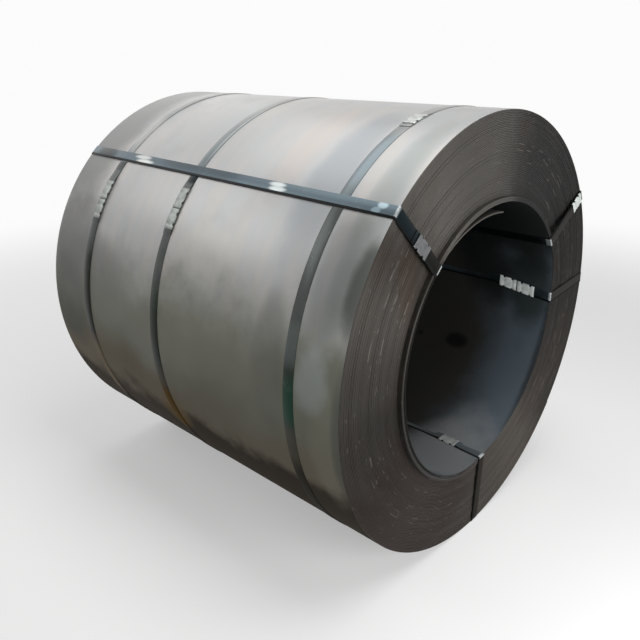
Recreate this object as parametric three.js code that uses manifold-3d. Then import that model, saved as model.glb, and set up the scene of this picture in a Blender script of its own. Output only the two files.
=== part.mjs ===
// A hot-rolled steel coil, lying on its side and bound for transport.
// Millimetres. X runs along the coil's bore, Z is up, and the origin is on the floor under the middle.
// Angles round the bore are measured from straight up towards +Y.
import * as THREE from 'three';
import { mergeVertices } from 'three/addons/utils/BufferGeometryUtils.js';
import Module from 'manifold-3d';

const wasm = await Module();
wasm.setup();

// The strip and the coil wound from it
const STRIP_WIDTH = 1219;
const STRIP_THICKNESS = 4;
const BORE_DIAMETER = 762;
const OUTER_DIAMETER = 1210;
const TURNS_PER_STEP = 4; // turns that share one step of the end faces
const PROUD_STEPS = 1; // steps next to the bore that stand out at the front end
const PROUD_REACH = 9.6; // how far they stand out
const EDGE_WANDER = 1.8; // how far the other turns lie back from the rim
const WANDER_PHASE = 2.3; // radians of wander from one step to the next

// The loose inner end of the strip, which hangs away from the top of the bore
const INNER_TAIL_ROOT = 321.5;
const INNER_TAIL_TIP = 361;
const INNER_TAIL_DROP = 26;
const INNER_TAIL_CURVE = 1.05;
const INNER_TAIL_SPANS = 10;

// The outer end of the strip, a step in the far side of the coil
const OUTER_TAIL_ANGLE = 128;
const OUTER_TAIL_EASE = 60;
const OUTER_TAIL_SPANS = 12;

// Steel strap and the folded seals that join its ends
const STRAP_WIDTH = 32;
const STRAP_THICKNESS = 1;
const STRAP_TAIL = 14; // strap end that shows past its seal
const STRAP_RAMP = 16; // length over which a strap climbs
const SEAL_LENGTH = 57;
const SEAL_BREAK = 4; // bare strap between two seals that are set together
const SEAL_SHEET = 0.9;
const SEAL_LIP = 9;
const CRIMP_RADIUS = 4.2;
const CRIMP_SIDES = 8;
const CRIMPS_PER_SIDE = 2;
const GAP = 0.3; // running clearance between pieces that lie on each other

// Places of the straps round the girth, in from the nearer end or from the middle
const BACK_STRAP_INSET = 195.5;
const MIDDLE_STRAP_OFFSET = -63;
const FRONT_STRAP_INSET = 152.5;

// Places of the eye straps' seals, in from the outer rim of the face or from the bore's front edge
const NEAR_SEAL_INSET = 123;
const FAR_SEAL_INSET = 39;
const SIDE_SEAL_INSET = 119;
const FLOOR_SEAL_INSET = 124;

// How the eye straps lie askew, positive towards larger angles
const NEAR_STRAP_SLOPE = -0.0218; // sideways run of the whole strap for each millimetre of length
const FAR_STRAP_CANT = -17; // sideways run from the outer rim in to the bore
const FLOOR_STRAP_CANT = -16;
const SIDE_STRAP_SWAY = -27; // sideways run over the stretch next to the front face
const FLOOR_STRAP_SWAY = -12; // the same inside the bore alone
const FLOOR_STRAP_DRIFT = -45; // the same on the outside, where the strap turns away from the floor
const SWAY_LENGTH = 200;

// Flats round every turned or wrapped piece, and round a sharp bend of a strap
const FACETS = 72;
const BEND_SPANS = 3;
const SHARP_BEND = THREE.MathUtils.degToRad(20);

const FACET_ANGLE = (2 * Math.PI) / FACETS;
const BORE_RADIUS = BORE_DIAMETER / 2;
const OUTER_RADIUS = OUTER_DIAMETER / 2;
const STRAP_STACK = STRAP_THICKNESS + GAP;
const SEAL_SEAT = SEAL_SHEET + GAP;
const SEAL_WIDTH = STRAP_WIDTH + 2 * SEAL_SEAT;
const SEAL_SPACING = SEAL_LENGTH + SEAL_BREAK;
const HALF_WIDTH = STRIP_WIDTH / 2;
const BORE_FRONT = HALF_WIDTH + PROUD_REACH;
const CUT_MARGIN = 2; // how far a cutting piece runs past what it cuts

// Straps round the girth, back end first. Each seal group is centred at its angle.
const BELLY_STRAPS = [
  { name: 'belly_strap_1', x: BACK_STRAP_INSET - HALF_WIDTH, sealAngle: 302.5, seals: 2 },
  { name: 'belly_strap_2', x: MIDDLE_STRAP_OFFSET, sealAngle: 304.8, seals: 2 },
  { name: 'belly_strap_3', x: HALF_WIDTH - FRONT_STRAP_INSET, sealAngle: 344, seals: 1 },
];

// Straps through the bore. Each seal group is centred on the face or in the bore.
const EYE_STRAPS = [
  {
    name: 'eye_strap_1',
    angle: 315.75,
    slope: NEAR_STRAP_SLOPE,
    seals: 1,
    sealAt: new THREE.Vector2(HALF_WIDTH, OUTER_RADIUS - NEAR_SEAL_INSET),
  },
  {
    name: 'eye_strap_2',
    angle: 57.3,
    cant: FAR_STRAP_CANT,
    seals: 1,
    sealAt: new THREE.Vector2(HALF_WIDTH, OUTER_RADIUS - FAR_SEAL_INSET),
  },
  {
    name: 'eye_strap_3',
    angle: 86,
    sway: SIDE_STRAP_SWAY,
    seals: 2,
    sealAt: new THREE.Vector2(BORE_FRONT - SIDE_SEAL_INSET, BORE_RADIUS),
  },
  {
    name: 'eye_strap_4',
    angle: 177.1,
    cant: FLOOR_STRAP_CANT,
    sway: FLOOR_STRAP_SWAY,
    drift: FLOOR_STRAP_DRIFT,
    seals: 1,
    sealAt: new THREE.Vector2(BORE_FRONT - FLOOR_SEAL_INSET, BORE_RADIUS),
  },
];

const FINISHES = {
  scale: { color: 0x94918b, roughness: 0.45, metalness: 0.75 },
  strap: { color: 0x2c3437, roughness: 0.35, metalness: 0.6 },
  seal: { color: 0xc3cac6, roughness: 0.3, metalness: 0.85 },
};

const coilFrame = new THREE.Group();

function radians(degrees) {
  return THREE.MathUtils.degToRad(degrees);
}

// A closed triangle mesh as a solid that can be joined and cut.
function solidOf(geometry) {
  const bare = geometry.index ? geometry.toNonIndexed() : geometry.clone();
  bare.deleteAttribute('normal');
  bare.deleteAttribute('uv');
  const merged = mergeVertices(bare, 1e-4);
  const vertProperties = new Float32Array(merged.attributes.position.array);
  const triVerts = new Uint32Array(merged.index.array);
  return new wasm.Manifold(new wasm.Mesh({ numProp: 3, vertProperties, triVerts }));
}

function geometryOf(solid) {
  const mesh = solid.getMesh();
  const geometry = new THREE.BufferGeometry();
  const positions = new Float32Array(mesh.numVert * 3);
  for (let i = 0; i < mesh.numVert; i += 1) {
    for (let axis = 0; axis < 3; axis += 1) {
      positions[i * 3 + axis] = mesh.vertProperties[i * mesh.numProp + axis];
    }
  }
  geometry.setAttribute('position', new THREE.BufferAttribute(positions, 3));
  geometry.setIndex(new THREE.BufferAttribute(new Uint32Array(mesh.triVerts), 1));
  return geometry;
}

function addPiece(name, geometry, finish) {
  const mesh = new THREE.Mesh(geometry, new THREE.MeshStandardMaterial(FINISHES[finish]));
  mesh.name = name;
  coilFrame.add(mesh);
}

// How far the turns of one step stand out at the front end. They are set back as far at the other.
function edgeShift(step, steps) {
  if (step < PROUD_STEPS) {
    return PROUD_REACH;
  }
  if (step === steps - 1) {
    return 0;
  }
  return (-EDGE_WANDER * (1 + Math.sin(WANDER_PHASE * step))) / 2;
}

// The wall's section as radius and place along the bore, once round from the bore's front edge.
function coilProfile() {
  const turns = Math.round((OUTER_RADIUS - BORE_RADIUS) / STRIP_THICKNESS);
  const steps = Math.ceil(turns / TURNS_PER_STEP);
  const stepHeight = (OUTER_RADIUS - BORE_RADIUS) / steps;
  const front = [];
  const back = [];
  for (let step = 0; step < steps; step += 1) {
    const shift = edgeShift(step, steps);
    for (const edge of [step, step + 1]) {
      const radius = BORE_RADIUS + edge * stepHeight;
      front.push(new THREE.Vector2(radius, HALF_WIDTH + shift));
      back.unshift(new THREE.Vector2(radius, -HALF_WIDTH + shift));
    }
  }
  return [...front, ...back];
}

// The radius of the ridges between flats.
function ridgeRadius(flatRadius) {
  return flatRadius / Math.cos(FACET_ANGLE / 2);
}

// Turns a section about X, with flats that lie at the section's true radii.
function turned(profile) {
  const points = profile.map((point) => new THREE.Vector2(ridgeRadius(point.x), point.y));
  points.push(points[0].clone());
  const geometry = new THREE.LatheGeometry(points.reverse(), FACETS, FACET_ANGLE / 2);
  return geometry.rotateZ(-Math.PI / 2);
}

function atAngle(radius, angle) {
  return new THREE.Vector2(radius * Math.sin(angle), radius * Math.cos(angle));
}

// Stands a piece that was drawn in Y and Z, and extruded, at its place along the bore.
function roundGirth(geometry, x) {
  const place = new THREE.Matrix4().makeBasis(
    new THREE.Vector3(0, 1, 0),
    new THREE.Vector3(0, 0, 1),
    new THREE.Vector3(1, 0, 0),
  );
  return geometry.applyMatrix4(place.setPosition(x, 0, 0));
}

// Extrudes an outline across the bore, given as Y and Z, between two places along X.
function alongBore(points, start, end) {
  const shape = new THREE.Shape(points);
  const geometry = new THREE.ExtrudeGeometry(shape, { depth: end - start, bevelEnabled: false });
  return roundGirth(geometry, start);
}

// The strip's inner end: it leaves the bore wall at its root and hangs clear at its tip.
function innerTail() {
  const inner = [];
  const outer = [];
  for (let i = 0; i <= INNER_TAIL_SPANS; i += 1) {
    const share = i / INNER_TAIL_SPANS;
    const angle = radians(THREE.MathUtils.lerp(INNER_TAIL_ROOT, INNER_TAIL_TIP, share));
    const radius = BORE_RADIUS - INNER_TAIL_DROP * share ** INNER_TAIL_CURVE;
    inner.push(atAngle(radius, angle));
    outer.unshift(atAngle(radius + STRIP_THICKNESS, angle));
  }
  const start = BORE_FRONT - STRIP_WIDTH;
  return alongBore([...inner, ...outer], start, start + STRIP_WIDTH);
}

// What is missing beyond the strip's outer end, where the coil is one turn thinner.
function outerTailStep() {
  const surface = [];
  const beyond = [];
  for (let i = 0; i <= OUTER_TAIL_SPANS; i += 1) {
    const share = i / OUTER_TAIL_SPANS;
    const angle = radians(OUTER_TAIL_ANGLE - OUTER_TAIL_EASE * share);
    surface.push(atAngle(OUTER_RADIUS - STRIP_THICKNESS * (1 - share) + GAP * share, angle));
    beyond.unshift(atAngle(OUTER_RADIUS + STRIP_THICKNESS, angle));
  }
  const reach = BORE_FRONT + CUT_MARGIN;
  return alongBore([...surface, ...beyond], -reach, reach);
}

function coil(profile) {
  const wound = solidOf(turned(profile)).add(solidOf(innerTail()));
  return geometryOf(wound.subtract(solidOf(outerTailStep())));
}

// One lap round a convex outline that runs anticlockwise, as corners with the ways that a strap
// faces while it goes round them.
function lapRound(outline) {
  const corners = [];
  let distance = 0;
  outline.forEach((point, i) => {
    const before = outline[(i + outline.length - 1) % outline.length];
    const after = outline[(i + 1) % outline.length];
    const facingIn = outwardOf(before, point);
    const facingOut = outwardOf(point, after);
    const bend = Math.acos(Math.min(1, facingIn.dot(facingOut)));
    corners.push({ base: point, distance, facings: bendFacings(facingIn, facingOut, bend), facingOut });
    distance += point.distanceTo(after);
  });
  return { corners, length: distance };
}

function outwardOf(from, to) {
  return new THREE.Vector2(to.y - from.y, from.x - to.x).normalize();
}

// A slight bend is mitred. A sharp one is an arc about the corner.
function bendFacings(facingIn, facingOut, bend) {
  if (bend < SHARP_BEND) {
    const middle = facingIn.clone().add(facingOut).normalize();
    return [middle.multiplyScalar(1 / Math.cos(bend / 2))];
  }
  const facings = [];
  for (let i = 0; i <= BEND_SPANS; i += 1) {
    facings.push(facingIn.clone().rotateAround(new THREE.Vector2(), (bend * i) / BEND_SPANS));
  }
  return facings;
}

// The distance along a lap that is nearest to a point.
function distanceNear(lap, target) {
  let best = { gap: Infinity, distance: 0 };
  lap.corners.forEach((corner, i) => {
    const next = lap.corners[(i + 1) % lap.corners.length];
    const along = next.base.clone().sub(corner.base);
    const share = target.clone().sub(corner.base).dot(along) / along.lengthSq();
    const place = corner.base.clone().addScaledVector(along, THREE.MathUtils.clamp(share, 0, 1));
    const gap = place.distanceTo(target);
    if (gap < best.gap) {
      best = { gap, distance: corner.distance + corner.base.distanceTo(place) };
    }
  });
  return best.distance;
}

// The point of a lap at a distance that may run past its end.
function stationAt(lap, distance) {
  const wrapped = THREE.MathUtils.euclideanModulo(distance, lap.length);
  const corner = lap.corners.findLast((one) => one.distance <= wrapped);
  const along = new THREE.Vector2(-corner.facingOut.y, corner.facingOut.x);
  const base = corner.base.clone().addScaledVector(along, wrapped - corner.distance);
  return { distance, base, facing: corner.facingOut };
}

// The stations of a strap between two distances: its ends, the places asked for and each bend.
function stationsAlong(lap, start, end, places) {
  const stations = [start, ...places, end].map((distance) => stationAt(lap, distance));
  for (let turn = Math.floor(start / lap.length); turn * lap.length < end; turn += 1) {
    for (const corner of lap.corners) {
      const distance = corner.distance + turn * lap.length;
      if (distance > start && distance < end) {
        stations.push(...corner.facings.map((facing) => ({ distance, base: corner.base, facing })));
      }
    }
  }
  return stations.sort((one, other) => one.distance - other.distance);
}

// A band between two heights above the lap, extruded to a width about the plane of the lap.
function bandSolid(stations, low, high, width) {
  const raise = (station, height) => station.base.clone().addScaledVector(station.facing, height);
  const under = stations.map((station) => raise(station, low(station.distance)));
  const over = stations.map((station) => raise(station, high(station.distance)));
  const shape = new THREE.Shape([...under, ...over.reverse()]);
  const geometry = new THREE.ExtrudeGeometry(shape, { depth: width, bevelEnabled: false });
  return geometry.translate(0, 0, -width / 2);
}

function sealGroupLength(seals) {
  return SEAL_LENGTH + (seals - 1) * SEAL_SPACING;
}

// A strap once round a lap. It is lifted over the lips of its seals, and one end lies on the other.
function strapGeometry(lap, middle, seals) {
  const lifted = sealGroupLength(seals) / 2 + CUT_MARGIN;
  const overlap = sealGroupLength(seals) / 2 + STRAP_TAIL;
  const climb = overlap + CUT_MARGIN;
  const ramp = (run) => THREE.MathUtils.clamp(run / STRAP_RAMP, 0, 1);
  const seat = (place) => SEAL_SEAT * ramp(lifted + STRAP_RAMP - Math.abs(place));
  const stack = (place) => STRAP_STACK * ramp(place + climb + STRAP_RAMP);
  const low = (distance) => {
    const onTop = distance > middle + lap.length / 2;
    const place = distance - middle - (onTop ? lap.length : 0);
    return GAP + seat(place) + (onTop ? stack(place) : 0);
  };
  const start = middle - overlap;
  const end = middle + lap.length + overlap;
  const near = [lifted, lifted + STRAP_RAMP].map((place) => middle + place);
  const far = [-climb - STRAP_RAMP, -climb, -lifted - STRAP_RAMP, -lifted, lifted]
    .map((place) => middle + lap.length + place);
  const stations = stationsAlong(lap, start, end, [middle - lifted, ...near, ...far]);
  return bandSolid(stations, low, (distance) => low(distance) + STRAP_THICKNESS, STRAP_WIDTH);
}

// A seal: sheet folded round two strap ends, with its lips under them and notches crimped in its sides.
function sealGeometry(lap, middle) {
  const flat = (height) => () => height;
  const floor = GAP + SEAL_SEAT;
  const roof = floor + 2 * STRAP_THICKNESS + 2 * GAP;
  const block = (halfLength, low, high, width) => {
    const stations = stationsAlong(lap, middle - halfLength, middle + halfLength, []);
    return solidOf(bandSolid(stations, flat(low), flat(high), width));
  };
  const past = SEAL_LENGTH / 2 + CUT_MARGIN;
  let seal = block(SEAL_LENGTH / 2, GAP, roof + SEAL_SHEET, SEAL_WIDTH);
  seal = seal.subtract(block(past, GAP + SEAL_SHEET, roof, STRAP_WIDTH + 2 * GAP));
  seal = seal.subtract(block(past, -GAP, floor, STRAP_WIDTH - 2 * SEAL_LIP));
  for (let i = 0; i < CRIMPS_PER_SIDE; i += 1) {
    const place = middle + SEAL_LENGTH * ((i + 0.5) / CRIMPS_PER_SIDE - 0.5);
    for (const side of [-1, 1]) {
      seal = seal.subtract(crimpCutter(stationAt(lap, place), side * (SEAL_WIDTH / 2)));
    }
  }
  return geometryOf(seal);
}

// A round cutter that stands on the strap and bites into one side of a seal.
function crimpCutter(station, side) {
  const height = 8 * (STRAP_THICKNESS + SEAL_SHEET);
  const cutter = new THREE.CylinderGeometry(CRIMP_RADIUS, CRIMP_RADIUS, height, CRIMP_SIDES);
  const facing = new THREE.Vector3(station.facing.x, station.facing.y, 0);
  const turn = new THREE.Quaternion().setFromUnitVectors(new THREE.Vector3(0, 1, 0), facing);
  cutter.applyQuaternion(turn);
  cutter.translate(station.base.x, station.base.y, side);
  return solidOf(cutter);
}

// The flats of a wrapped piece, as an anticlockwise outline in Y and Z.
function girthOutline(flatRadius) {
  const corners = [];
  for (let i = 0; i < FACETS; i += 1) {
    corners.push(atAngle(ridgeRadius(flatRadius), (0.5 - i) * FACET_ANGLE));
  }
  return corners;
}

// Height of a faceted ring above the axis, seen square to an angle and off to one side.
function ringHeight(flatRadius, angle, side) {
  let height = Infinity;
  for (let i = 0; i < FACETS; i += 1) {
    const away = i * FACET_ANGLE - angle;
    if (Math.cos(away) > 0.5) {
      height = Math.min(height, (flatRadius - side * Math.sin(away)) / Math.cos(away));
    }
  }
  return height;
}

// The lowest that a ring stands over a band of a given half width.
function ringLow(flatRadius, angle, halfWidth) {
  const heights = [-halfWidth, halfWidth].map((side) => ringHeight(flatRadius, angle, side));
  return Math.min(...heights);
}

function cross(origin, one, other) {
  return (one.x - origin.x) * (other.y - origin.y) - (one.y - origin.y) * (other.x - origin.x);
}

// The taut line round a set of points, anticlockwise.
function tautOutline(points) {
  const sorted = [...points].sort((one, other) => one.x - other.x || one.y - other.y);
  const halfRound = (ordered) => {
    const chain = [];
    for (const point of ordered) {
      while (chain.length > 1 && cross(chain.at(-2), chain.at(-1), point) <= 1e-6) {
        chain.pop();
      }
      chain.push(point);
    }
    return chain.slice(0, -1);
  };
  return [...halfRound(sorted), ...halfRound(sorted.reverse())];
}

// Adds a corner wherever an outline crosses a place along the bore.
function splitAt(outline, x) {
  return outline.flatMap((point, i) => {
    const next = outline[(i + 1) % outline.length];
    const share = (x - point.x) / (next.x - point.x);
    return share > 0 && share < 1 ? [point, point.clone().lerp(next, share)] : [point];
  });
}

// The taut line of a strap through the bore: round the wall's section and over the girth straps.
function eyeLap(strap, profile) {
  const { angle, slope = 0, cant = 0, sway = 0 } = strap;
  const askew = Math.abs(slope) * HALF_WIDTH + Math.abs(sway) + Math.abs(cant);
  const points = [];
  for (const corner of profile) {
    const low = ringLow(corner.x, radians(angle), SEAL_WIDTH / 2 + askew);
    points.push(new THREE.Vector2(corner.y, low), new THREE.Vector2(corner.y, ridgeRadius(corner.x)));
  }
  const girthTop = ridgeRadius(OUTER_RADIUS + STRAP_STACK);
  for (const belly of BELLY_STRAPS) {
    points.push(new THREE.Vector2(belly.x - STRAP_WIDTH / 2, girthTop));
    points.push(new THREE.Vector2(belly.x + STRAP_WIDTH / 2, girthTop));
  }
  return lapRound(splitAt(tautOutline(points), BORE_FRONT - SWAY_LENGTH));
}

// Leans a piece of a strap sideways, along the surface outside and straight across in the bore,
// and turns it to its angle.
function throughEye(geometry, strap) {
  const { angle, slope = 0, cant = 0, sway = 0, drift = sway } = strap;
  const position = geometry.attributes.position;
  const vertex = new THREE.Vector3();
  const alongX = new THREE.Vector3(1, 0, 0);
  for (let i = 0; i < position.count; i += 1) {
    vertex.fromBufferAttribute(position, i);
    const depth = THREE.MathUtils.clamp((BORE_FRONT - vertex.x) / SWAY_LENGTH, 0, 1);
    const inward = THREE.MathUtils.inverseLerp(OUTER_RADIUS, BORE_RADIUS, vertex.y);
    const share = THREE.MathUtils.clamp(inward, 0, 1);
    const side = slope * vertex.x + THREE.MathUtils.lerp(drift * depth, sway * depth + cant, share);
    if (vertex.y > OUTER_RADIUS) {
      vertex.applyAxisAngle(alongX, -side / OUTER_RADIUS);
    } else {
      vertex.z -= side;
    }
    position.setXYZ(i, vertex.x, vertex.y, vertex.z);
  }
  const turn = radians(angle);
  const place = new THREE.Matrix4().makeBasis(
    alongX,
    new THREE.Vector3(0, Math.sin(turn), Math.cos(turn)),
    new THREE.Vector3(0, -Math.cos(turn), Math.sin(turn)),
  );
  return geometry.applyMatrix4(place);
}

// Builds a strap and its seals on one lap, each put in place by the same function.
function addStrap(strap, lap, middle, placed) {
  addPiece(strap.name, placed(strapGeometry(lap, middle, strap.seals)), 'strap');
  for (let i = 0; i < strap.seals; i += 1) {
    const offset = (i - (strap.seals - 1) / 2) * SEAL_SPACING;
    const suffix = strap.seals > 1 ? `_${i + 1}` : '';
    addPiece(`${strap.name}_seal${suffix}`, placed(sealGeometry(lap, middle + offset)), 'seal');
  }
}

const profile = coilProfile();
addPiece('coil', coil(profile), 'scale');

const girthLap = lapRound(girthOutline(OUTER_RADIUS));
for (const strap of BELLY_STRAPS) {
  const middle = distanceNear(girthLap, atAngle(OUTER_RADIUS, radians(strap.sealAngle)));
  addStrap(strap, girthLap, middle, (geometry) => roundGirth(geometry, strap.x));
}

for (const strap of EYE_STRAPS) {
  const lap = eyeLap(strap, profile);
  const middle = distanceNear(lap, strap.sealAt);
  addStrap(strap, lap, middle, (geometry) => throughEye(geometry, strap));
}

// The coil lies on what hangs lowest.
const bounds = new THREE.Box3().setFromObject(coilFrame);
coilFrame.position.set(-PROUD_REACH / 2, 0, -bounds.min.z);

export default coilFrame;
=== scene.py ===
"""A hot-rolled steel coil on its side, bound with flat steel straps and crimped seals.

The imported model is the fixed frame. The strip is modelled as one wound spiral, and each strap and
seal is modelled flat, as it comes off the bench, and then laid on its route round the coil.
Angles round the bore are measured in degrees from straight up towards +Y.
"""
import logging
import math
from bisect import bisect_right
from contextlib import contextmanager
from dataclasses import dataclass, field
from enum import Enum
from functools import cached_property
from typing import Callable, Iterable, Iterator, Sequence

import bpy
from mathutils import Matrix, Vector


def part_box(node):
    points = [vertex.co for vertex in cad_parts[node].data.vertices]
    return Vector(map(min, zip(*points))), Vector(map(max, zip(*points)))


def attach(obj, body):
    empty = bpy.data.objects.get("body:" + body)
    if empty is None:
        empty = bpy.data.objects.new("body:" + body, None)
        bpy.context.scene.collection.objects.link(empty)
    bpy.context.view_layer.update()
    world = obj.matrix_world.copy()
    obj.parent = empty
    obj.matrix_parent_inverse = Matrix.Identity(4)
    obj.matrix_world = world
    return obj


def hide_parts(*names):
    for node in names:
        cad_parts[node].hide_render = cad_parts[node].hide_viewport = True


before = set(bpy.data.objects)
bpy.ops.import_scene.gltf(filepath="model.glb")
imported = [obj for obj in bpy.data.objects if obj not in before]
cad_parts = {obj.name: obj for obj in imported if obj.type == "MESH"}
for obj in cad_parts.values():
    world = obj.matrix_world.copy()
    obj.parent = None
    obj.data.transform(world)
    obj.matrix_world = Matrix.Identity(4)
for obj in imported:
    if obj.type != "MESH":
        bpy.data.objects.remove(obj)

MM = 0.001
BODY = "root"
MERGE_DISTANCE = 0.004 * MM
CUT_THRESHOLD = 1e-7  # metres from a cut at which a corner counts as on it
TOUCH = 1e-6  # metres that a bent edge may be off its place
HAIR = 1e-9  # millimetres that a station may be short of its corner
STRAIGHT = 1e-4  # square millimetres that three points in a line may span
LOG = logging.getLogger("steel_coil")


class Slot(Enum):
    """The material slots, by name."""

    STRIP = "hot_rolled_strip"
    STRAP = "strap_steel"
    SEAL = "seal_steel"


class Region(Enum):
    """The surfaces of the wound strip that have a finish of their own."""

    OUTSIDE = 0
    EDGE = 1
    BORE = 2
    STEP = 3


def held(share: float) -> float:
    """A share held between 0 and 1."""
    return min(1.0, max(0.0, share))


def smooth_step(share: float) -> float:
    """Ease a share from 0 to 1, held at both ends."""
    share = held(share)
    return share * share * (3.0 - 2.0 * share)


def centred(angle: float) -> float:
    """The same angle between -180 and 180 degrees."""
    return (angle + 180.0) % 360.0 - 180.0


# ----------------------------------------
# Sizes of the coil, in millimetres and degrees as on a mill's drawing
# ----------------------------------------


@dataclass(frozen=True)
class EdgeWander:
    """How far the strip's edges lie off the rim from turn to turn, and how that changes."""

    reach: float = 1.5
    pitch: float = 0.57
    start: float = 1.1
    beat: float = 0.21
    jitter: float = 0.32
    jitter_pitch: float = 2.399
    jitter_run: float = 0.9
    settled_turns: float = 3.0
    settling_turns: float = 1.5

    def depth(self, wound: float, turns: int) -> float:
        """Millimetres that the edge lies back after some wound turns, of a coil whose last turns lie even."""
        settled = smooth_step((wound - turns + self.settled_turns) / self.settling_turns)
        roll = 0.5 + 0.5 * math.sin(self.pitch * wound + self.start) * math.cos(self.beat * wound)
        chatter = 0.5 + 0.5 * math.sin(self.jitter_pitch * math.floor(wound) + self.jitter_run * wound)
        return (self.reach * roll + self.jitter * chatter) * (1.0 - settled)


@dataclass(frozen=True)
class StripSizes:
    """The strip and the way it is wound."""

    width: float = 1219.0
    thickness: float = 4.0
    bore_radius: float = 381.0
    turns: int = 56
    outer_end_angle: float = 128.0
    inner_end_angle: float = 321.5
    inner_joggle: float = 20.0
    outer_joggle: float = 30.0
    proud_turns: float = 4.0
    proud_reach: float = 9.6
    proud_low_share: float = 0.10
    proud_low_angle: float = 130.0
    proud_low_half: float = 42.0
    proud_fade: float = 24.0
    slack_reach: float = 2.2
    slack_depth: float = 5.0
    slack_angle: float = 243.0
    slack_half: float = 52.0
    slack_fade: float = 40.0
    wander: EdgeWander = EdgeWander()
    corner: float = 0.55
    groove: float = 1.1
    tail_tip_angle: float = 361.0
    tail_drop: float = 26.0
    tail_curve: float = 1.05
    tail_spans: int = 12

    @property
    def outer_radius(self) -> float:
        """Radius over the last turn."""
        return self.bore_radius + self.turns * self.thickness

    @property
    def half_width(self) -> float:
        """Half of the strip's width."""
        return self.width / 2

    @property
    def proud_front(self) -> float:
        """Place along the bore of the front edge of the turns that stand out."""
        return self.half_width + self.proud_reach

    def phase(self, angle: float) -> float:
        """Share of a turn from the strip's outer end round to an angle, 0 to 1."""
        return ((self.outer_end_angle - angle) / 360.0) % 1.0

    def climb(self, boundary: float, phase: float) -> float:
        """How far a turn has climbed onto the one below it.

        Args:
            boundary: Number of the turn whose inner side is meant.
            phase: Share of a turn from the strip's outer end.

        Returns:
            0 before the joggle and 1 after it.
        """
        inner = self.phase(self.inner_end_angle) - self.inner_joggle / 360.0
        outer = self.outer_joggle / 360.0
        share = boundary / self.turns
        middle = inner + (outer - inner) * share
        half = (self.inner_joggle + (self.outer_joggle - self.inner_joggle) * share) / 360.0
        return smooth_step((phase - middle + half) / (2 * half))

    def boundary_radius(self, boundary: float, phase: float) -> float:
        """Radius of the inner side of a turn at a phase."""
        if boundary <= 0:
            return self.bore_radius
        return self.bore_radius + self.thickness * (boundary - 1 + self.climb(boundary, phase))

    def slack(self, angle: float) -> float:
        """How far the innermost turn hangs off the next one at an angle."""
        away = abs(centred(angle - self.slack_angle))
        return self.slack_reach * smooth_step((self.slack_half - away) / self.slack_fade)

    def proud_share(self, angle: float) -> float:
        """How much of their reach the innermost turns stand out at an angle."""
        away = abs(centred(angle - self.proud_low_angle))
        risen = smooth_step((away - self.proud_low_half) / self.proud_fade)
        return self.proud_low_share + (1.0 - self.proud_low_share) * risen

    def edge_shift(self, wound: float) -> float:
        """How far the strip's edge stands out at the front, after a number of wound turns."""
        if wound < self.proud_turns:
            return self.proud_reach * self.proud_share(self.outer_end_angle - 360.0 * wound)
        return -self.wander.depth(wound, self.turns)


STRIP = StripSizes()


@dataclass(frozen=True)
class StrapSizes:
    """Strap and seal stock, and how a seal sits on its strap."""

    width: float = 32.0
    thickness: float = 1.0
    edge_round: float = 0.22
    tail: float = 14.0
    ramp: float = 16.0
    seal_length: float = 57.0
    seal_break: float = 4.0
    seal_sheet: float = 0.9
    seal_lip: float = 9.0
    crimp_radius: float = 4.2
    crimps: int = 2
    clearance: float = 0.3
    bend_radius: float = 0.5

    @property
    def stack(self) -> float:
        """Height of one strap with its clearance."""
        return self.thickness + self.clearance

    @property
    def seat(self) -> float:
        """Height of a seal's lip with its clearance."""
        return self.seal_sheet + self.clearance

    @property
    def spacing(self) -> float:
        """Distance between the middles of two seals set together."""
        return self.seal_length + self.seal_break


STOCK = StrapSizes()


@dataclass(frozen=True)
class CoilPlace:
    """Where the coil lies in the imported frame, in metres."""

    middle: float
    axis_height: float

    @classmethod
    def from_frame(cls) -> "CoilPlace":
        """Read the coil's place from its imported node."""
        low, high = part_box("coil")
        return cls(middle=high.x - STRIP.proud_front * MM, axis_height=(low.z + high.z) / 2)

    def point(self, x: float, radius: float, angle: float, side: float = 0.0) -> Vector:
        """Turn a place on the coil into a point of the frame.

        Args:
            x: Millimetres along the bore from the strip's middle.
            radius: Millimetres from the bore's axis.
            angle: Degrees round the bore.
            side: Millimetres sideways, towards larger angles.

        Returns:
            The point in metres.
        """
        turn = math.radians(angle)
        y = radius * math.sin(turn) + side * math.cos(turn)
        z = radius * math.cos(turn) - side * math.sin(turn)
        return Vector((self.middle + x * MM, y * MM, self.axis_height + z * MM))


PLACE = CoilPlace.from_frame()


# ----------------------------------------
# Bench tools
# ----------------------------------------

Piece = bpy.types.Object
Pick = Callable[[bpy.types.Mesh], None]


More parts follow.
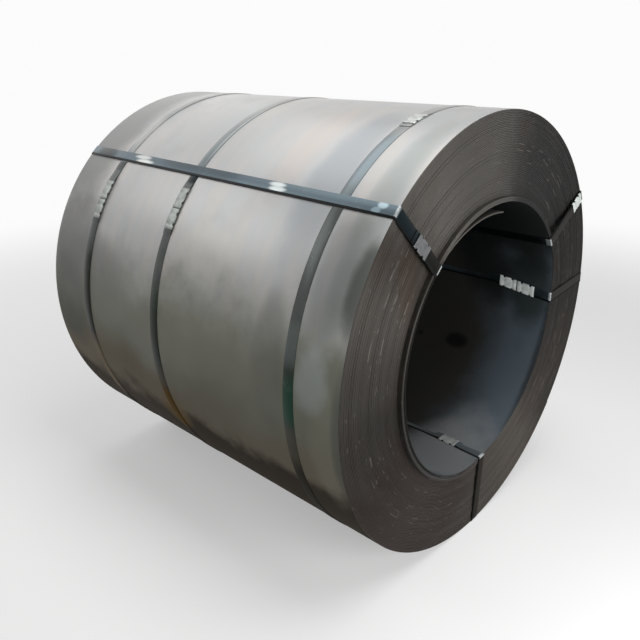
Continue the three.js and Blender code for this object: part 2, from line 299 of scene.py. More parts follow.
class Bench:
    """Modelling on one object at a time, as done by hand."""

    @staticmethod
    def clear() -> None:
        """Leave edit mode and deselect everything."""
        if bpy.context.object and bpy.context.object.mode != "OBJECT":
            bpy.ops.object.mode_set(mode="OBJECT")
        bpy.ops.object.select_all(action="DESELECT")

    @staticmethod
    def take(piece: Piece) -> None:
        """Make a piece the only selected and active one."""
        Bench.clear()
        piece.select_set(True)
        bpy.context.view_layer.objects.active = piece

    @staticmethod
    def settled(name: str, size: Sequence[float] = (1, 1, 1)) -> Piece:
        """Name the piece that was just added, and put its place, turn and size into its mesh."""
        piece = bpy.context.object
        piece.name = name
        piece.scale = size
        Bench.take(piece)
        bpy.ops.object.transform_apply(location=True, rotation=True, scale=True)
        return piece

    @staticmethod
    @contextmanager
    def editing(piece: Piece, mode: str = "VERT", pick: Pick | None = None) -> Iterator[None]:
        """Open a piece in edit mode, and leave edit mode when the work on it is done.

        Args:
            piece: The object to edit.
            mode: VERT, EDGE or FACE.
            pick: Selects what the work starts with, which is everything without it.
        """
        Bench.take(piece)
        bpy.ops.object.mode_set(mode="EDIT")
        bpy.ops.mesh.select_mode(type=mode)
        bpy.ops.mesh.select_all(action="DESELECT" if pick else "SELECT")
        if pick:
            bpy.ops.object.mode_set(mode="OBJECT")
            pick(piece.data)
            bpy.ops.object.mode_set(mode="EDIT")
        yield
        bpy.ops.object.mode_set(mode="OBJECT")

    @staticmethod
    def edges(wanted: Callable[[Vector, Vector], bool]) -> Pick:
        """A pick of the edges whose two ends pass a test."""

        def pick(mesh: bpy.types.Mesh) -> None:
            """Select those edges."""
            for edge in mesh.edges:
                edge.select = wanted(*(mesh.vertices[i].co for i in edge.vertices))

        return pick

    @staticmethod
    def apply(piece: Piece, kind: str, **settings: object) -> None:
        """Add a modifier with its settings and apply it.

        Args:
            piece: The object that it acts on.
            kind: Blender's name of the modifier's type.
            settings: Values of the modifier's own properties.
        """
        Bench.take(piece)
        modifier = piece.modifiers.new(kind.title(), kind)
        for name, value in settings.items():
            setattr(modifier, name, value)
        bpy.ops.object.modifier_apply(modifier=modifier.name)

    @staticmethod
    def tidy(piece: Piece, smooth_angle: float) -> None:
        """Merge doubles, point the faces outwards and smooth them up to an angle in degrees."""
        with Bench.editing(piece):
            bpy.ops.mesh.remove_doubles(threshold=MERGE_DISTANCE)
            bpy.ops.mesh.dissolve_degenerate(threshold=MERGE_DISTANCE / 4)
            bpy.ops.mesh.select_all(action="SELECT")
            bpy.ops.mesh.normals_make_consistent(inside=False)
        bpy.ops.object.shade_smooth_by_angle(angle=math.radians(smooth_angle))

    @staticmethod
    def copy(piece: Piece, name: str) -> Piece:
        """Copy a piece with a mesh of its own."""
        twin = piece.copy()
        twin.data = piece.data.copy()
        twin.name = twin.data.name = name
        bpy.context.scene.collection.objects.link(twin)
        return twin

    @staticmethod
    def discard(piece: Piece) -> None:
        """Remove a pattern piece and its mesh."""
        mesh = piece.data
        bpy.data.objects.remove(piece)
        bpy.data.meshes.remove(mesh)


def hand_over(piece: Piece, node: str) -> None:
    """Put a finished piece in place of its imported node.

    Args:
        piece: The finished object.
        node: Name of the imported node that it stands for.
    """
    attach(piece, BODY)
    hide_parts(node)
    triangles = sum(len(face.vertices) - 2 for face in piece.data.polygons)
    LOG.info("%s stands for %s with %d triangles", piece.name, node, triangles)


# ----------------------------------------
# Finishes
# ----------------------------------------

Colour = tuple[float, float, float]
Span = tuple[float, float]


class Signal:
    """A number or colour on a node sheet, which takes part in sums as a plain number does."""

    def __init__(self, sheet: "Sheet", socket: bpy.types.NodeSocket) -> None:
        """Keep a socket together with its sheet."""
        self.sheet = sheet
        self.socket = socket

    def __add__(self, other: "Value") -> "Signal":
        """The sum of the two."""
        return self.sheet.math("ADD", self, other)

    __radd__ = __add__

    def __sub__(self, other: "Value") -> "Signal":
        """This less the other."""
        return self.sheet.math("SUBTRACT", self, other)

    def __rsub__(self, other: float) -> "Signal":
        """A plain number less this."""
        return self.sheet.math("SUBTRACT", other, self)

    def __mul__(self, other: "Value") -> "Signal":
        """The product of the two."""
        return self.sheet.math("MULTIPLY", self, other)

    def __abs__(self) -> "Signal":
        """This without its sign."""
        return self.sheet.math("ABSOLUTE", self)

    def band(self, low: float, high: float) -> "Signal":
        """Ease this from 0 at low to 1 at high."""
        limits = {0: self, 1: low, 2: high}
        return self.sheet.node("MapRange", limits, interpolation_type="SMOOTHSTEP", clamp=True)

    def within(self, span: Span, softness: Span) -> "Signal":
        """1 inside a span and 0 outside it, eased by a softness of its own at either end."""
        (low, high), (below, above) = span, softness
        return self.band(low - below, low + below) - self.band(high - above, high + above)


Value = Signal | Colour | float
Key = int | str


@dataclass(frozen=True)
class Grain:
    """A cloudy noise: features for each metre, number of finer layers and their strength."""

    scale: float
    layers: float
    rough: float = 0.6


class Sheet:
    """The node sheet of a material or of the world, with short words for the nodes in use."""

    def __init__(self, owner: bpy.types.Material | bpy.types.World) -> None:
        """Open the owner's sheet."""
        owner.use_nodes = True
        self.tree = owner.node_tree

    @cached_property
    def coordinates(self) -> Signal:
        """Where the point lies in its object."""
        return self.node("TexCoord", {}, "Object")

    def node(self, kind: str, inputs: dict[Key, Value], output: Key = 0, **settings: object) -> Signal:
        """Add a node.

        Args:
            kind: Blender's name of the node's type, without the part that all of them share.
            inputs: What goes into its sockets, by number or name.
            output: The socket that is wanted from it.
            settings: Values of the node's own properties.

        Returns:
            The wanted output.
        """
        node = self.tree.nodes.new(f"ShaderNode{kind}")
        for name, value in settings.items():
            setattr(node, name, value)
        for key, value in inputs.items():
            self.feed(node.inputs[key], value)
        return Signal(self, node.outputs[output])

    def feed(self, socket: bpy.types.NodeSocket, value: Value) -> None:
        """Link a signal to a socket, or set the socket's own value."""
        if isinstance(value, Signal):
            self.tree.links.new(value.socket, socket)
        elif socket.type == "RGBA":
            socket.default_value = (*value, 1.0)
        else:
            socket.default_value = value

    def math(self, operation: str, *values: Value) -> Signal:
        """Work out a number, by Blender's name of the operation."""
        return self.node("Math", dict(enumerate(values)), operation=operation)

    def mix(self, share: Value, one: Value, other: Value) -> Signal:
        """Mix two colours, by how much of the second one shows."""
        return self.node("Mix", {0: share, 6: one, 7: other}, 2, data_type="RGBA")

    def noise(self, place: Signal, grain: Grain) -> Signal:
        """Cloudy noise from 0 to 1 at a place."""
        inputs = {"Vector": place, "Scale": grain.scale, "Detail": grain.layers, "Roughness": grain.rough}
        return self.node("TexNoise", inputs, "Fac")

    def noise_along(self, value: Signal, scale: float, layers: float) -> Signal:
        """Noise from 0 to 1 along a single number."""
        inputs = {"W": value, "Scale": scale, "Detail": layers}
        return self.node("TexNoise", inputs, "Fac", noise_dimensions="1D")

    def attribute(self, name: str) -> Signal:
        """The number that a piece carries under a name."""
        return self.node("Attribute", {}, "Fac", attribute_name=name)

    def set(self, **values: Value) -> None:
        """Set the shader's own sockets, with spaces written as underscores."""
        for name, value in values.items():
            self.feed(self.tree.nodes["Principled BSDF"].inputs[name.replace("_", " ")], value)

    def bump(self, height: Signal, strength: float, distance: float) -> None:
        """Raise the surface by a height from 0 to 1.

        Args:
            height: The height.
            strength: Share of the effect.
            distance: Millimetres for a height of 1.
        """
        inputs = {"Strength": strength, "Distance": distance * MM, "Height": height}
        self.set(Normal=self.node("Bump", inputs, "Normal"))


@dataclass(frozen=True)
class StainOrLightPatch:
    """A soft-edged patch of another tone on the coil: a mark of dirt or scale, or a patch of painted shade,
    shadow, highlight or reflection.
    """

    x: float
    angle: float
    half_length: float
    half_angle: float
    colour: Colour
    strength: float


@dataclass(frozen=True)
class Shade:
    """A tone that takes over, by a share, where a value rises from start to end."""

    start: float
    end: float
    colour: Colour
    share: float = 1.0


class CoilSheet(Sheet):
    """A finish's sheet, which knows where a point lies along and round the bore."""

    fray = 1.6
    patch_edge = (0.15, 1.15)

    @cached_property
    def x(self) -> Signal:
        """Metres along the bore from the strip's middle."""
        return self.node("SeparateXYZ", {0: self.coordinates}, "X") - PLACE.middle

    @cached_property
    def section(self) -> tuple[Signal, Signal]:
        """Metres from the bore's axis towards +Y and upwards."""
        y, z = (self.node("SeparateXYZ", {0: self.coordinates}, axis) for axis in "YZ")
        return y, z - PLACE.axis_height

    @cached_property
    def radius(self) -> Signal:
        """Metres from the bore's axis."""
        y, z = self.section
        return self.math("SQRT", y * y + z * z)

    @cached_property
    def turn(self) -> Signal:
        """Radians round the bore."""
        return self.math("ARCTAN2", *self.section)

    @cached_property
    def angle(self) -> Signal:
        """Degrees round the bore."""
        return self.turn * math.degrees(1.0)

    @cached_property
    def skin(self) -> Signal:
        """The place on the unrolled coil, for noises that follow the strip."""
        return self.node("CombineXYZ", {0: self.x, 1: self.turn * self.radius, 2: self.radius})

    def away_from(self, angle: float) -> Signal:
        """Degrees round the bore from an angle, -180 to 180."""
        return self.math("WRAP", self.angle - centred(angle), 180.0, -180.0)

    def patched_with_stains_and_light(self, colour: Value, stains_and_painted_light: Iterable[StainOrLightPatch], clouds: Signal) -> Signal:
        """Lay soft patches of dirt and of painted light and shade over a colour, their edges frayed by
        clouds.
        """
        for tone_patch in stains_and_painted_light:
            along = (self.x - tone_patch.x * MM) * (1 / (tone_patch.half_length * MM))
            across = self.away_from(tone_patch.angle) * (1 / tone_patch.half_angle)
            frayed = along * along + across * across + (clouds - 0.5) * self.fray
            cover = (1.0 - frayed.band(*self.patch_edge)) * tone_patch.strength
            colour = self.mix(cover, colour, tone_patch.colour)
        return colour

    def shaded(self, colour: Value, value: Signal, *shades: Shade) -> Value:
        """Lay shades over a colour where a value rises, one after another."""
        for shade in shades:
            colour = self.mix(value.band(shade.start, shade.end) * shade.share, colour, shade.colour)
        return colour


class Finish:
    """What all the finishes share: each paints a new material's sheet in its own way."""

    name: str

    def make(self) -> bpy.types.Material:
        """Build the material."""
        material = bpy.data.materials.new(self.name)
        self.paint(CoilSheet(material))
        return material

    def paint(self, sheet: CoilSheet) -> None:
        """Lay the finish on a new sheet."""
        raise NotImplementedError


@dataclass(frozen=True)
class OutsideFinish(Finish):
    """Mill scale on the outside: bright grey above, with painted shade that turns it darker and browner round
    the underside, where it is also rougher.
    """

    name: str = "mill_scale_outside"
    body: Colour = (0.510, 0.505, 0.495)
    cool: Colour = (0.470, 0.490, 0.500)
    streaked: Shade = Shade(0.40, 0.64, (0.560, 0.530, 0.500))
    tinted_share: float = 0.5
    clouded: Shade = Shade(0.50, 0.72, (0.30, 0.30, 0.295), 0.25)
    speckled: Shade = Shade(0.30, 0.70, (0.30, 0.30, 0.295), 0.12)
    # Painted shade: darker, greener and browner from the flanks round to the underside, by degrees down from
    # the top.
    shades: tuple[Shade, ...] = (
        Shade(64, 84, (0.190, 0.195, 0.152)),
        Shade(92, 104, (0.210, 0.181, 0.134)),
        Shade(108, 116, (0.034, 0.024, 0.014)),
    )
    metallic: float = 0.35
    under_metallic: float = 0.12
    under_rough: float = 0.45
    metal_fades: Span = (80.0, 104.0)
    roughens: Span = (84.0, 108.0)
    rough: float = 0.28
    cloud_rough: float = 0.12
    streak_rough: float = 0.06
    relief: Span = (0.6, 0.4)
    streak: Grain = Grain(26.0, 5.0)
    streak_stretch: tuple[float, float, float] = (1.0, 0.12, 1.0)
    cloud: Grain = Grain(4.5, 5.0)
    grain: Grain = Grain(420.0, 2.0, 0.7)
    unevenness: float = 24.0
    # Patches that copy the outside's tones at given places, partly the scale's own mottling and partly
    # painted light: lighter and warmer high up as painted highlight and reflection, darker low down, at the
    # left end and by the front rim as painted shade.
    stains_and_painted_light: tuple[StainOrLightPatch, ...] = (
        StainOrLightPatch(250, 330, 60, 24, (0.56, 0.50, 0.46), 0.5),
        StainOrLightPatch(390, 322, 75, 28, (0.36, 0.38, 0.40), 0.8),
        StainOrLightPatch(560, 312, 50, 34, (0.32, 0.345, 0.335), 0.7),
        StainOrLightPatch(-570, 338, 150, 60, (0.20, 0.20, 0.197), 0.85),
        StainOrLightPatch(110, 296, 120, 9, (0.60, 0.58, 0.53), 0.5),
        StainOrLightPatch(-420, 283, 220, 12, (0.13, 0.13, 0.125), 0.6),
        StainOrLightPatch(385, 276, 60, 20, (0.135, 0.138, 0.118), 0.5),
        StainOrLightPatch(565, 297, 55, 10, (0.24, 0.26, 0.25), 0.5),
        StainOrLightPatch(-520, 290, 150, 16, (0.12, 0.12, 0.115), 0.6),
        StainOrLightPatch(-535, 271, 150, 16, (0.060, 0.062, 0.049), 0.85),
        StainOrLightPatch(150, 266, 260, 20, (0.25, 0.25, 0.205), 0.5),
        StainOrLightPatch(565, 262, 60, 20, (0.28, 0.28, 0.22), 0.5),
        StainOrLightPatch(-60, 246, 70, 7, (0.22, 0.15, 0.06), 0.6),
        StainOrLightPatch(525, 300, 75, 17, (0.155, 0.163, 0.158), 0.6),
        StainOrLightPatch(525, 277, 65, 9, (0.40, 0.44, 0.44), 0.5),
        StainOrLightPatch(608, 266, 30, 20, (0.085, 0.094, 0.088), 0.6),
        StainOrLightPatch(604, 298, 40, 12, (0.070, 0.076, 0.068), 0.85),
    )

    def paint(self, sheet: CoilSheet) -> None:
        """Lay streaks, clouds and patches on the scale, paint shade round the underside and roughen it there.
        """
        stretched = {0: sheet.skin, 1: self.streak_stretch}
        streaks = sheet.noise(sheet.node("VectorMath", stretched, operation="MULTIPLY"), self.streak)
        clouds = sheet.noise(sheet.skin, self.cloud)
        grains = sheet.noise(sheet.skin, self.grain)
        lowered = abs(sheet.angle) + (clouds - 0.5) * self.unevenness
        colour = sheet.mix(self.tinted_share, self.body, sheet.shaded(self.cool, streaks, self.streaked))
        colour = sheet.shaded(colour, clouds, self.clouded)
        # Painted shade round the underside.
        colour = sheet.shaded(colour, lowered, *self.shades)
        colour = sheet.patched_with_stains_and_light(colour, self.stains_and_painted_light, clouds)
        colour = sheet.shaded(colour, grains, self.speckled)
        metallic = lowered.band(*self.metal_fades) * (self.under_metallic - self.metallic) + self.metallic
        rough = clouds * self.cloud_rough + self.rough + streaks * self.streak_rough
        rough = rough + lowered.band(*self.roughens) * self.under_rough
        sheet.set(Base_Color=colour, Metallic=metallic, Roughness=rough, Specular_IOR_Level=0.08)
        streaky, grainy = self.relief
        sheet.bump(streaks * streaky + grains * grainy, 0.25, 0.4)


@dataclass(frozen=True)
class Ring:
    """A ring round the bore of painted shade or painted highlight, its radii in millimetres."""

    inner: float
    outer: float
    colour: Colour
    strength: float


@dataclass(frozen=True)
class EdgeFinish(Finish):
    """Sheared strip edges on the ends: brown-grey turns, each with its own tone, bright flecks, and painted
    highlight and shade in sectors round the end and at the bore's rim.
    """

    name: str = "sheared_edges"
    body: Colour = (0.046, 0.040, 0.035)
    pale: Shade = Shade(0.50, 0.72, (0.060, 0.054, 0.048), 0.5)
    deep: Shade = Shade(0.30, 0.48, (0.030, 0.026, 0.022), 0.45)
    rusty: Shade = Shade(0.52, 0.70, (0.054, 0.036, 0.026), 0.5)
    speckled: Shade = Shade(0.35, 0.7, (0.030, 0.026, 0.022), 0.2)
    fleck: Colour = (0.170, 0.156, 0.137)
    metallic: float = 0.7
    anisotropy: float = 0.8
    rough: float = 0.36
    turn_rough: float = 0.2
    cloud: Grain = Grain(6.0, 4.0)
    grain: Grain = Grain(520.0, 2.0, 0.7)
    # Painted highlight and shade in sectors round the front end, as the light falls on the ringed edges:
    # lighter at 340°, 285° and 158°, darker at 42°, 98°, 218° and 250°.
    stains_and_painted_light: tuple[StainOrLightPatch, ...] = (
        StainOrLightPatch(600, 42, 300, 50, (0.002, 0.002, 0.002), 1.0),
        StainOrLightPatch(600, 98, 300, 40, (0.011, 0.009, 0.008), 0.80),
        StainOrLightPatch(600, 340, 300, 34, (0.120, 0.112, 0.102), 0.85),
        StainOrLightPatch(600, 285, 300, 20, (0.058, 0.054, 0.049), 0.6),
        StainOrLightPatch(600, 250, 300, 20, (0.022, 0.020, 0.018), 0.6),
        StainOrLightPatch(600, 158, 300, 24, (0.084, 0.073, 0.061), 0.6),
        StainOrLightPatch(600, 218, 300, 38, (0.020, 0.008, 0.003), 0.90),
    )
    light_and_shade_rings: tuple[Ring, ...] = (
        Ring(392.6, 402.0, (0.020, 0.017, 0.015), 0.85),
        Ring(389.0, 392.6, (0.075, 0.070, 0.064), 0.7),
        Ring(370.0, 389.0, (0.002, 0.002, 0.002), 1.0),
    )
    ringed: Span = (190.0, 316.0)
    ringed_ease: Span = (8.0, 4.0)
    ring_ease: Span = (0.4 * MM, 0.4 * MM)
    flecked: tuple[float, ...] = (437.0, 483.0, 512.0, 527.0)
    fleck_drift: float = 24.0
    fleck_reach: Span = (1.0, 3.0)
    fleck_patches: Span = (0.36, 0.52)
    fleck_share: float = 0.55

    def paint(self, sheet: CoilSheet) -> None:
        """Give each turn its tone, then lay the sectors of painted highlight and shade, the bands of painted
        light and shade round the bore and the flecks.
        """
        wound = sheet.attribute("wound")
        clouds = sheet.noise(sheet.skin, self.cloud)
        grains = sheet.noise(sheet.skin, self.grain)
        turns = sheet.noise_along(wound, 3.7, 3.0)
        colour = sheet.shaded(self.body, turns, self.pale)
        low = 1.0 - turns.band(self.deep.start, self.deep.end)
        colour = sheet.mix(low * self.deep.share, colour, self.deep.colour)
        colour = sheet.shaded(colour, clouds, self.rusty)
        colour = sheet.patched_with_stains_and_light(colour, self.stains_and_painted_light, clouds)
        # Along one side of the bore, where the turns gape, bands of painted light and shade follow the rim: a
        # black line of shade in the gap, a pale line of painted highlight on a turn's edge and a dark band of
        # painted shade beside the turns that stand out.
        gaping = sheet.math("WRAP", sheet.angle, 360.0, 0.0).within(self.ringed, self.ringed_ease)
        for ring in self.light_and_shade_rings:
            cover = sheet.radius.within((ring.inner * MM, ring.outer * MM), self.ring_ease) * ring.strength
            colour = sheet.mix(cover * gaping, colour, ring.colour)
        colour = sheet.mix(self.flecks(sheet, wound, clouds), colour, self.fleck)
        colour = sheet.shaded(colour, grains, self.speckled)
        rough = turns * self.turn_rough + self.rough
        sheet.set(Base_Color=colour, Metallic=self.metallic, Roughness=rough, Specular_IOR_Level=0.15)
        along = sheet.node("Tangent", {}, direction_type="RADIAL", axis="X")
        sheet.set(Anisotropic=self.anisotropy, Anisotropic_Rotation=0.25, Tangent=along)
        sheet.bump(grains, 0.3, 0.3)

    def flecks(self, sheet: CoilSheet, wound: Signal, clouds: Signal) -> Signal:
        """How bright a fleck is: short bright marks, partly chipped scale and partly painted glints on the
        turn edges, most of them along a few of the turns.
        """
        chips_and_glints = sheet.noise_along(wound, 56.0, 2.0).band(0.53, 0.63)
        rare_chips_and_glints = sheet.noise_along(wound, 90.0, 1.0).band(0.74, 0.80)
        place = sheet.radius + (clouds - 0.5) * (self.fleck_drift * MM)
        start, end = (reach * MM for reach in self.fleck_reach)
        near = sum(1.0 - abs(place - radius * MM).band(start, end) for radius in self.flecked)
        return (chips_and_glints * near + rare_chips_and_glints * 0.5) * clouds.band(*self.fleck_patches) * self.fleck_share


@dataclass(frozen=True)
class StepFinish(Finish):
    """Mill scale on the sides of the turns that stand out, painted dull dark brown as shade."""

    name: str = "painted_shade_turn_sides"
    # Painted shade: dark brown.
    body: Colour = (0.050, 0.045, 0.038)
    clouded: Shade = Shade(0.40, 0.65, (0.030, 0.027, 0.023))
    metallic: float = 0.3
    rough: float = 0.42
    cloud_rough: float = 0.2
    cloud: Grain = Grain(14.0, 4.0)
    grain: Grain = Grain(420.0, 2.0, 0.7)

    def paint(self, sheet: CoilSheet) -> None:
        """Cloud the scale darker and roughen it."""
        clouds = sheet.noise(sheet.coordinates, self.cloud)
        rough = clouds * self.cloud_rough + self.rough
        colour = sheet.shaded(self.body, clouds, self.clouded)
        sheet.set(Base_Color=colour, Metallic=self.metallic, Roughness=rough, Specular_IOR_Level=0.2)
        sheet.bump(sheet.noise(sheet.coordinates, self.grain), 0.3, 0.3)


@dataclass(frozen=True)
class BoreFinish(Finish):
    """Mill scale inside the bore: blue-grey near the front, with painted shade that turns it darker and
    browner deeper in.
    """

    name: str = "mill_scale_bore"
    # Painted shade: the dark brown deeper in, which turns blue-grey towards the front.
    brown: Colour = (0.020, 0.019, 0.017)
    cool: Shade = Shade(0.36, 0.52, (0.056, 0.073, 0.088))
    clouded: Shade = Shade(0.45, 0.70, (0.018, 0.019, 0.020), 0.3)
    speckled: Shade = Shade(0.3, 0.7, (0.018, 0.019, 0.020), 0.14)
    metallic: float = 0.3
    rough: float = 0.42
    cloud_rough: float = 0.2
    cloud: Grain = Grain(5.0, 5.0)
    grain: Grain = Grain(420.0, 2.0, 0.7)
    depth_drift: float = 0.18
    # Painted shade, near black, high on the far wall and in narrow strips at 118° to 120°; painted light on
    # the floor near the front at 190°. The patch at the front rim at 118° is a darker band.
    stains_and_painted_light: tuple[StainOrLightPatch, ...] = (
        StainOrLightPatch(400, 74, 130, 26, (0.003, 0.004, 0.004), 0.95),
        StainOrLightPatch(545, 80, 80, 26, (0.008, 0.013, 0.012), 0.85),
        StainOrLightPatch(520, 36, 280, 42, (0.002, 0.003, 0.003), 1.0),
        StainOrLightPatch(614, 118, 24, 44, (0.012, 0.015, 0.018), 0.9),
        StainOrLightPatch(505, 190, 160, 42, (0.185, 0.192, 0.194), 0.8),
        StainOrLightPatch(323, 118.7, 46, 4.6, (0.001, 0.001, 0.001), 1.0),
        StainOrLightPatch(179, 120.4, 12, 1.4, (0.004, 0.004, 0.004), 0.9),
    )

    def paint(self, sheet: CoilSheet) -> None:
        """Turn the scale from the dark brown of painted shade deeper in to blue-grey towards the front, cloud
        it and lay patches of painted light and shade.
        """
        clouds = sheet.noise(sheet.skin, self.cloud)
        grains = sheet.noise(sheet.skin, self.grain)
        colour = sheet.shaded(self.brown, sheet.x + (clouds - 0.5) * self.depth_drift, self.cool)
        colour = sheet.shaded(colour, clouds, self.clouded)
        colour = sheet.patched_with_stains_and_light(colour, self.stains_and_painted_light, clouds)
        colour = sheet.shaded(colour, grains, self.speckled)
        rough = clouds * self.cloud_rough + self.rough
        sheet.set(Base_Color=colour, Metallic=self.metallic, Roughness=rough, Specular_IOR_Level=0.2)
        sheet.bump(grains, 0.3, 0.3)


@dataclass(frozen=True)
class EndRun:
    """The darker tone of painted shade that a strap takes where it crosses the front end, on both sides of an
    angle, and how much rougher it is there.
    """

    angle: float
    half_angle: float
    inner: float
    outer: float
    colour: Colour
    dulled: float = 0.0


@dataclass(frozen=True)
class StrapFinish(Finish):
    """Blued steel strap: a semi-gloss band with scuffs and, along one side, a painted shadow line where it
    stands off the coil.
    """

    name: str
    body: Colour
    shades: tuple[Shade, ...] = ()
    stains_and_painted_light: tuple[StainOrLightPatch, ...] = ()
    scuff: Colour = (0.24, 0.265, 0.275)
    scuff_share: float = 0.4
    scuff_clouds: Span = (0.54, 0.68)
    scuff_grains: Span = (0.50, 0.66)
    edge_shadow: Colour = (0.003, 0.004, 0.004)
    edge_shadow_width: float = 0.0
    edge_shadow_ease: float = 0.6
    end_runs: tuple[EndRun, ...] = ()
    worn: Colour = (0.50, 0.53, 0.53)
    metallic: float = 0.85
    under_metallic: float = 0.4
    under_rough: float = 0.45
    metal_fades: Span = (66.0, 96.0)
    roughens: Span = (92.0, 108.0)
    rough: float = 0.22
    cloud_rough: float = 0.16
    cloud: Grain = Grain(9.0, 4.0)
    grain: Grain = Grain(260.0, 3.0, 0.7)
    front: Span = (604 * MM, 608 * MM)
    outer_bend: Span = (600 * MM, 604 * MM)
    outer_wear_and_glint: float = 0.6
    inner_bend: Span = (383 * MM, 387 * MM)
    bend_grains: Span = (0.30, 0.50)
    run_ease: Span = (3.0 * MM, 2.0 * MM)
    run_side_ease: float = 1.0

    def paint(self, sheet: CoilSheet) -> None:
        """Lay the tones, the scuffs, the painted shade over the front end, the glints and wear at the bends
        and the painted shadow line.
        """
        clouds = sheet.noise(sheet.coordinates, self.cloud)
        grains = sheet.noise(sheet.coordinates, self.grain)
        lowered = abs(sheet.angle)
        # Top-down tones: on the girth straps, painted reflection on top and painted shade below.
        colour = sheet.shaded(self.body, lowered, *self.shades)
        colour = sheet.patched_with_stains_and_light(colour, self.stains_and_painted_light, clouds)
        scuffs = clouds.band(*self.scuff_clouds) * grains.band(*self.scuff_grains) * self.scuff_share
        colour = sheet.mix(scuffs, colour, self.scuff)
        metallic = lowered.band(*self.metal_fades) * (self.under_metallic - self.metallic) + self.metallic
        dulled = lowered.band(*self.roughens) * self.under_rough
        # Painted shade: the straps take a darker tone where they cross the front end.
        if self.end_runs:
            front = sheet.x.band(*self.front)
            for run in self.end_runs:
                cover = self.run_cover(sheet, run, front)
                colour = sheet.mix(cover, colour, run.colour)
                dulled = dulled + cover * run.dulled
            # Painted glints at the bends round the rims, partly bare steel.
            colour = sheet.mix(self.bends(sheet, front, grains), colour, self.worn)
        # Painted shadow: a black line along one edge, with the metal taken out there so that it stays black.
        if self.edge_shadow_width:
            start = STOCK.width / 2 - self.edge_shadow_width
            side = sheet.attribute("across").band(start - self.edge_shadow_ease, start + self.edge_shadow_ease)
            colour = sheet.mix(side, colour, self.edge_shadow)
            metallic = metallic * (1.0 - side)
        rough = clouds * self.cloud_rough + self.rough + dulled
        sheet.set(Base_Color=colour, Metallic=metallic, Roughness=rough, Specular_IOR_Level=0.08)
        sheet.bump(grains, 0.15, 0.15)

    def run_cover(self, sheet: CoilSheet, run: EndRun, front: Signal) -> Signal:
        """Where one of the runs over the front end lies, 0 to 1."""
        start, end = run.half_angle - self.run_side_ease, run.half_angle + self.run_side_ease
        beside = abs(sheet.away_from(run.angle)).band(start, end)
        return sheet.radius.within((run.inner * MM, run.outer * MM), self.run_ease) * front * (1.0 - beside)

    def bends(self, sheet: CoilSheet, front: Signal, grains: Signal) -> Signal:
        """Where the strap is painted bright at its bends round the rims, 0 to 1: a painted glint, and bare
        steel where it is rubbed.
        """
        outer = sheet.radius.band(*self.outer_bend) * self.outer_wear_and_glint
        inner = 1.0 - sheet.radius.band(*self.inner_bend)
        return (outer + inner) * front * grains.band(*self.bend_grains)


# Round the girth the straps are painted pale on top as a reflection of the light above, and painted dark
# below as shade.
GIRTH_FINISH = StrapFinish(
    name="blued_girth_strap",
    body=(0.30, 0.30, 0.29),
    shades=(
        Shade(10, 32, (0.185, 0.200, 0.202)),
        Shade(32, 44, (0.120, 0.140, 0.148)),
        Shade(43.5, 46.5, (0.064, 0.070, 0.067)),
        Shade(70, 80, (0.034, 0.042, 0.036)),
        Shade(94, 100, (0.064, 0.058, 0.044)),
        Shade(104, 110, (0.020, 0.017, 0.012)),
    ),
    # The thin dark patches at 313.4° and 313.6° are painted shadow of eye strap A; the others lighten, darken
    # or tint each strap at given angles.
    stains_and_painted_light=(
        StainOrLightPatch(-414, 352, 60, 15, (0.180, 0.180, 0.172), 0.8),
        StainOrLightPatch(-414, 326, 60, 10, (0.330, 0.330, 0.318), 0.9),
        StainOrLightPatch(-414, 275, 60, 18, (0.010, 0.013, 0.010), 0.93),
        StainOrLightPatch(-414, 249, 60, 13, (0.190, 0.155, 0.108), 0.9),
        StainOrLightPatch(-414, 313.4, 60, 1.7, (0.030, 0.034, 0.034), 0.9),
        StainOrLightPatch(-63, 272, 60, 14, (0.014, 0.020, 0.013), 0.6),
        StainOrLightPatch(-63, 248, 60, 9, (0.080, 0.042, 0.002), 0.97),
        StainOrLightPatch(-63, 313.6, 60, 1.9, (0.004, 0.007, 0.008), 0.95),
        StainOrLightPatch(457, 270, 60, 7, (0.016, 0.060, 0.040), 0.9),
        StainOrLightPatch(457, 283, 60, 6, (0.095, 0.107, 0.104), 0.8),
        StainOrLightPatch(457, 328, 60, 10, (0.150, 0.182, 0.198), 0.95),
    ),
)

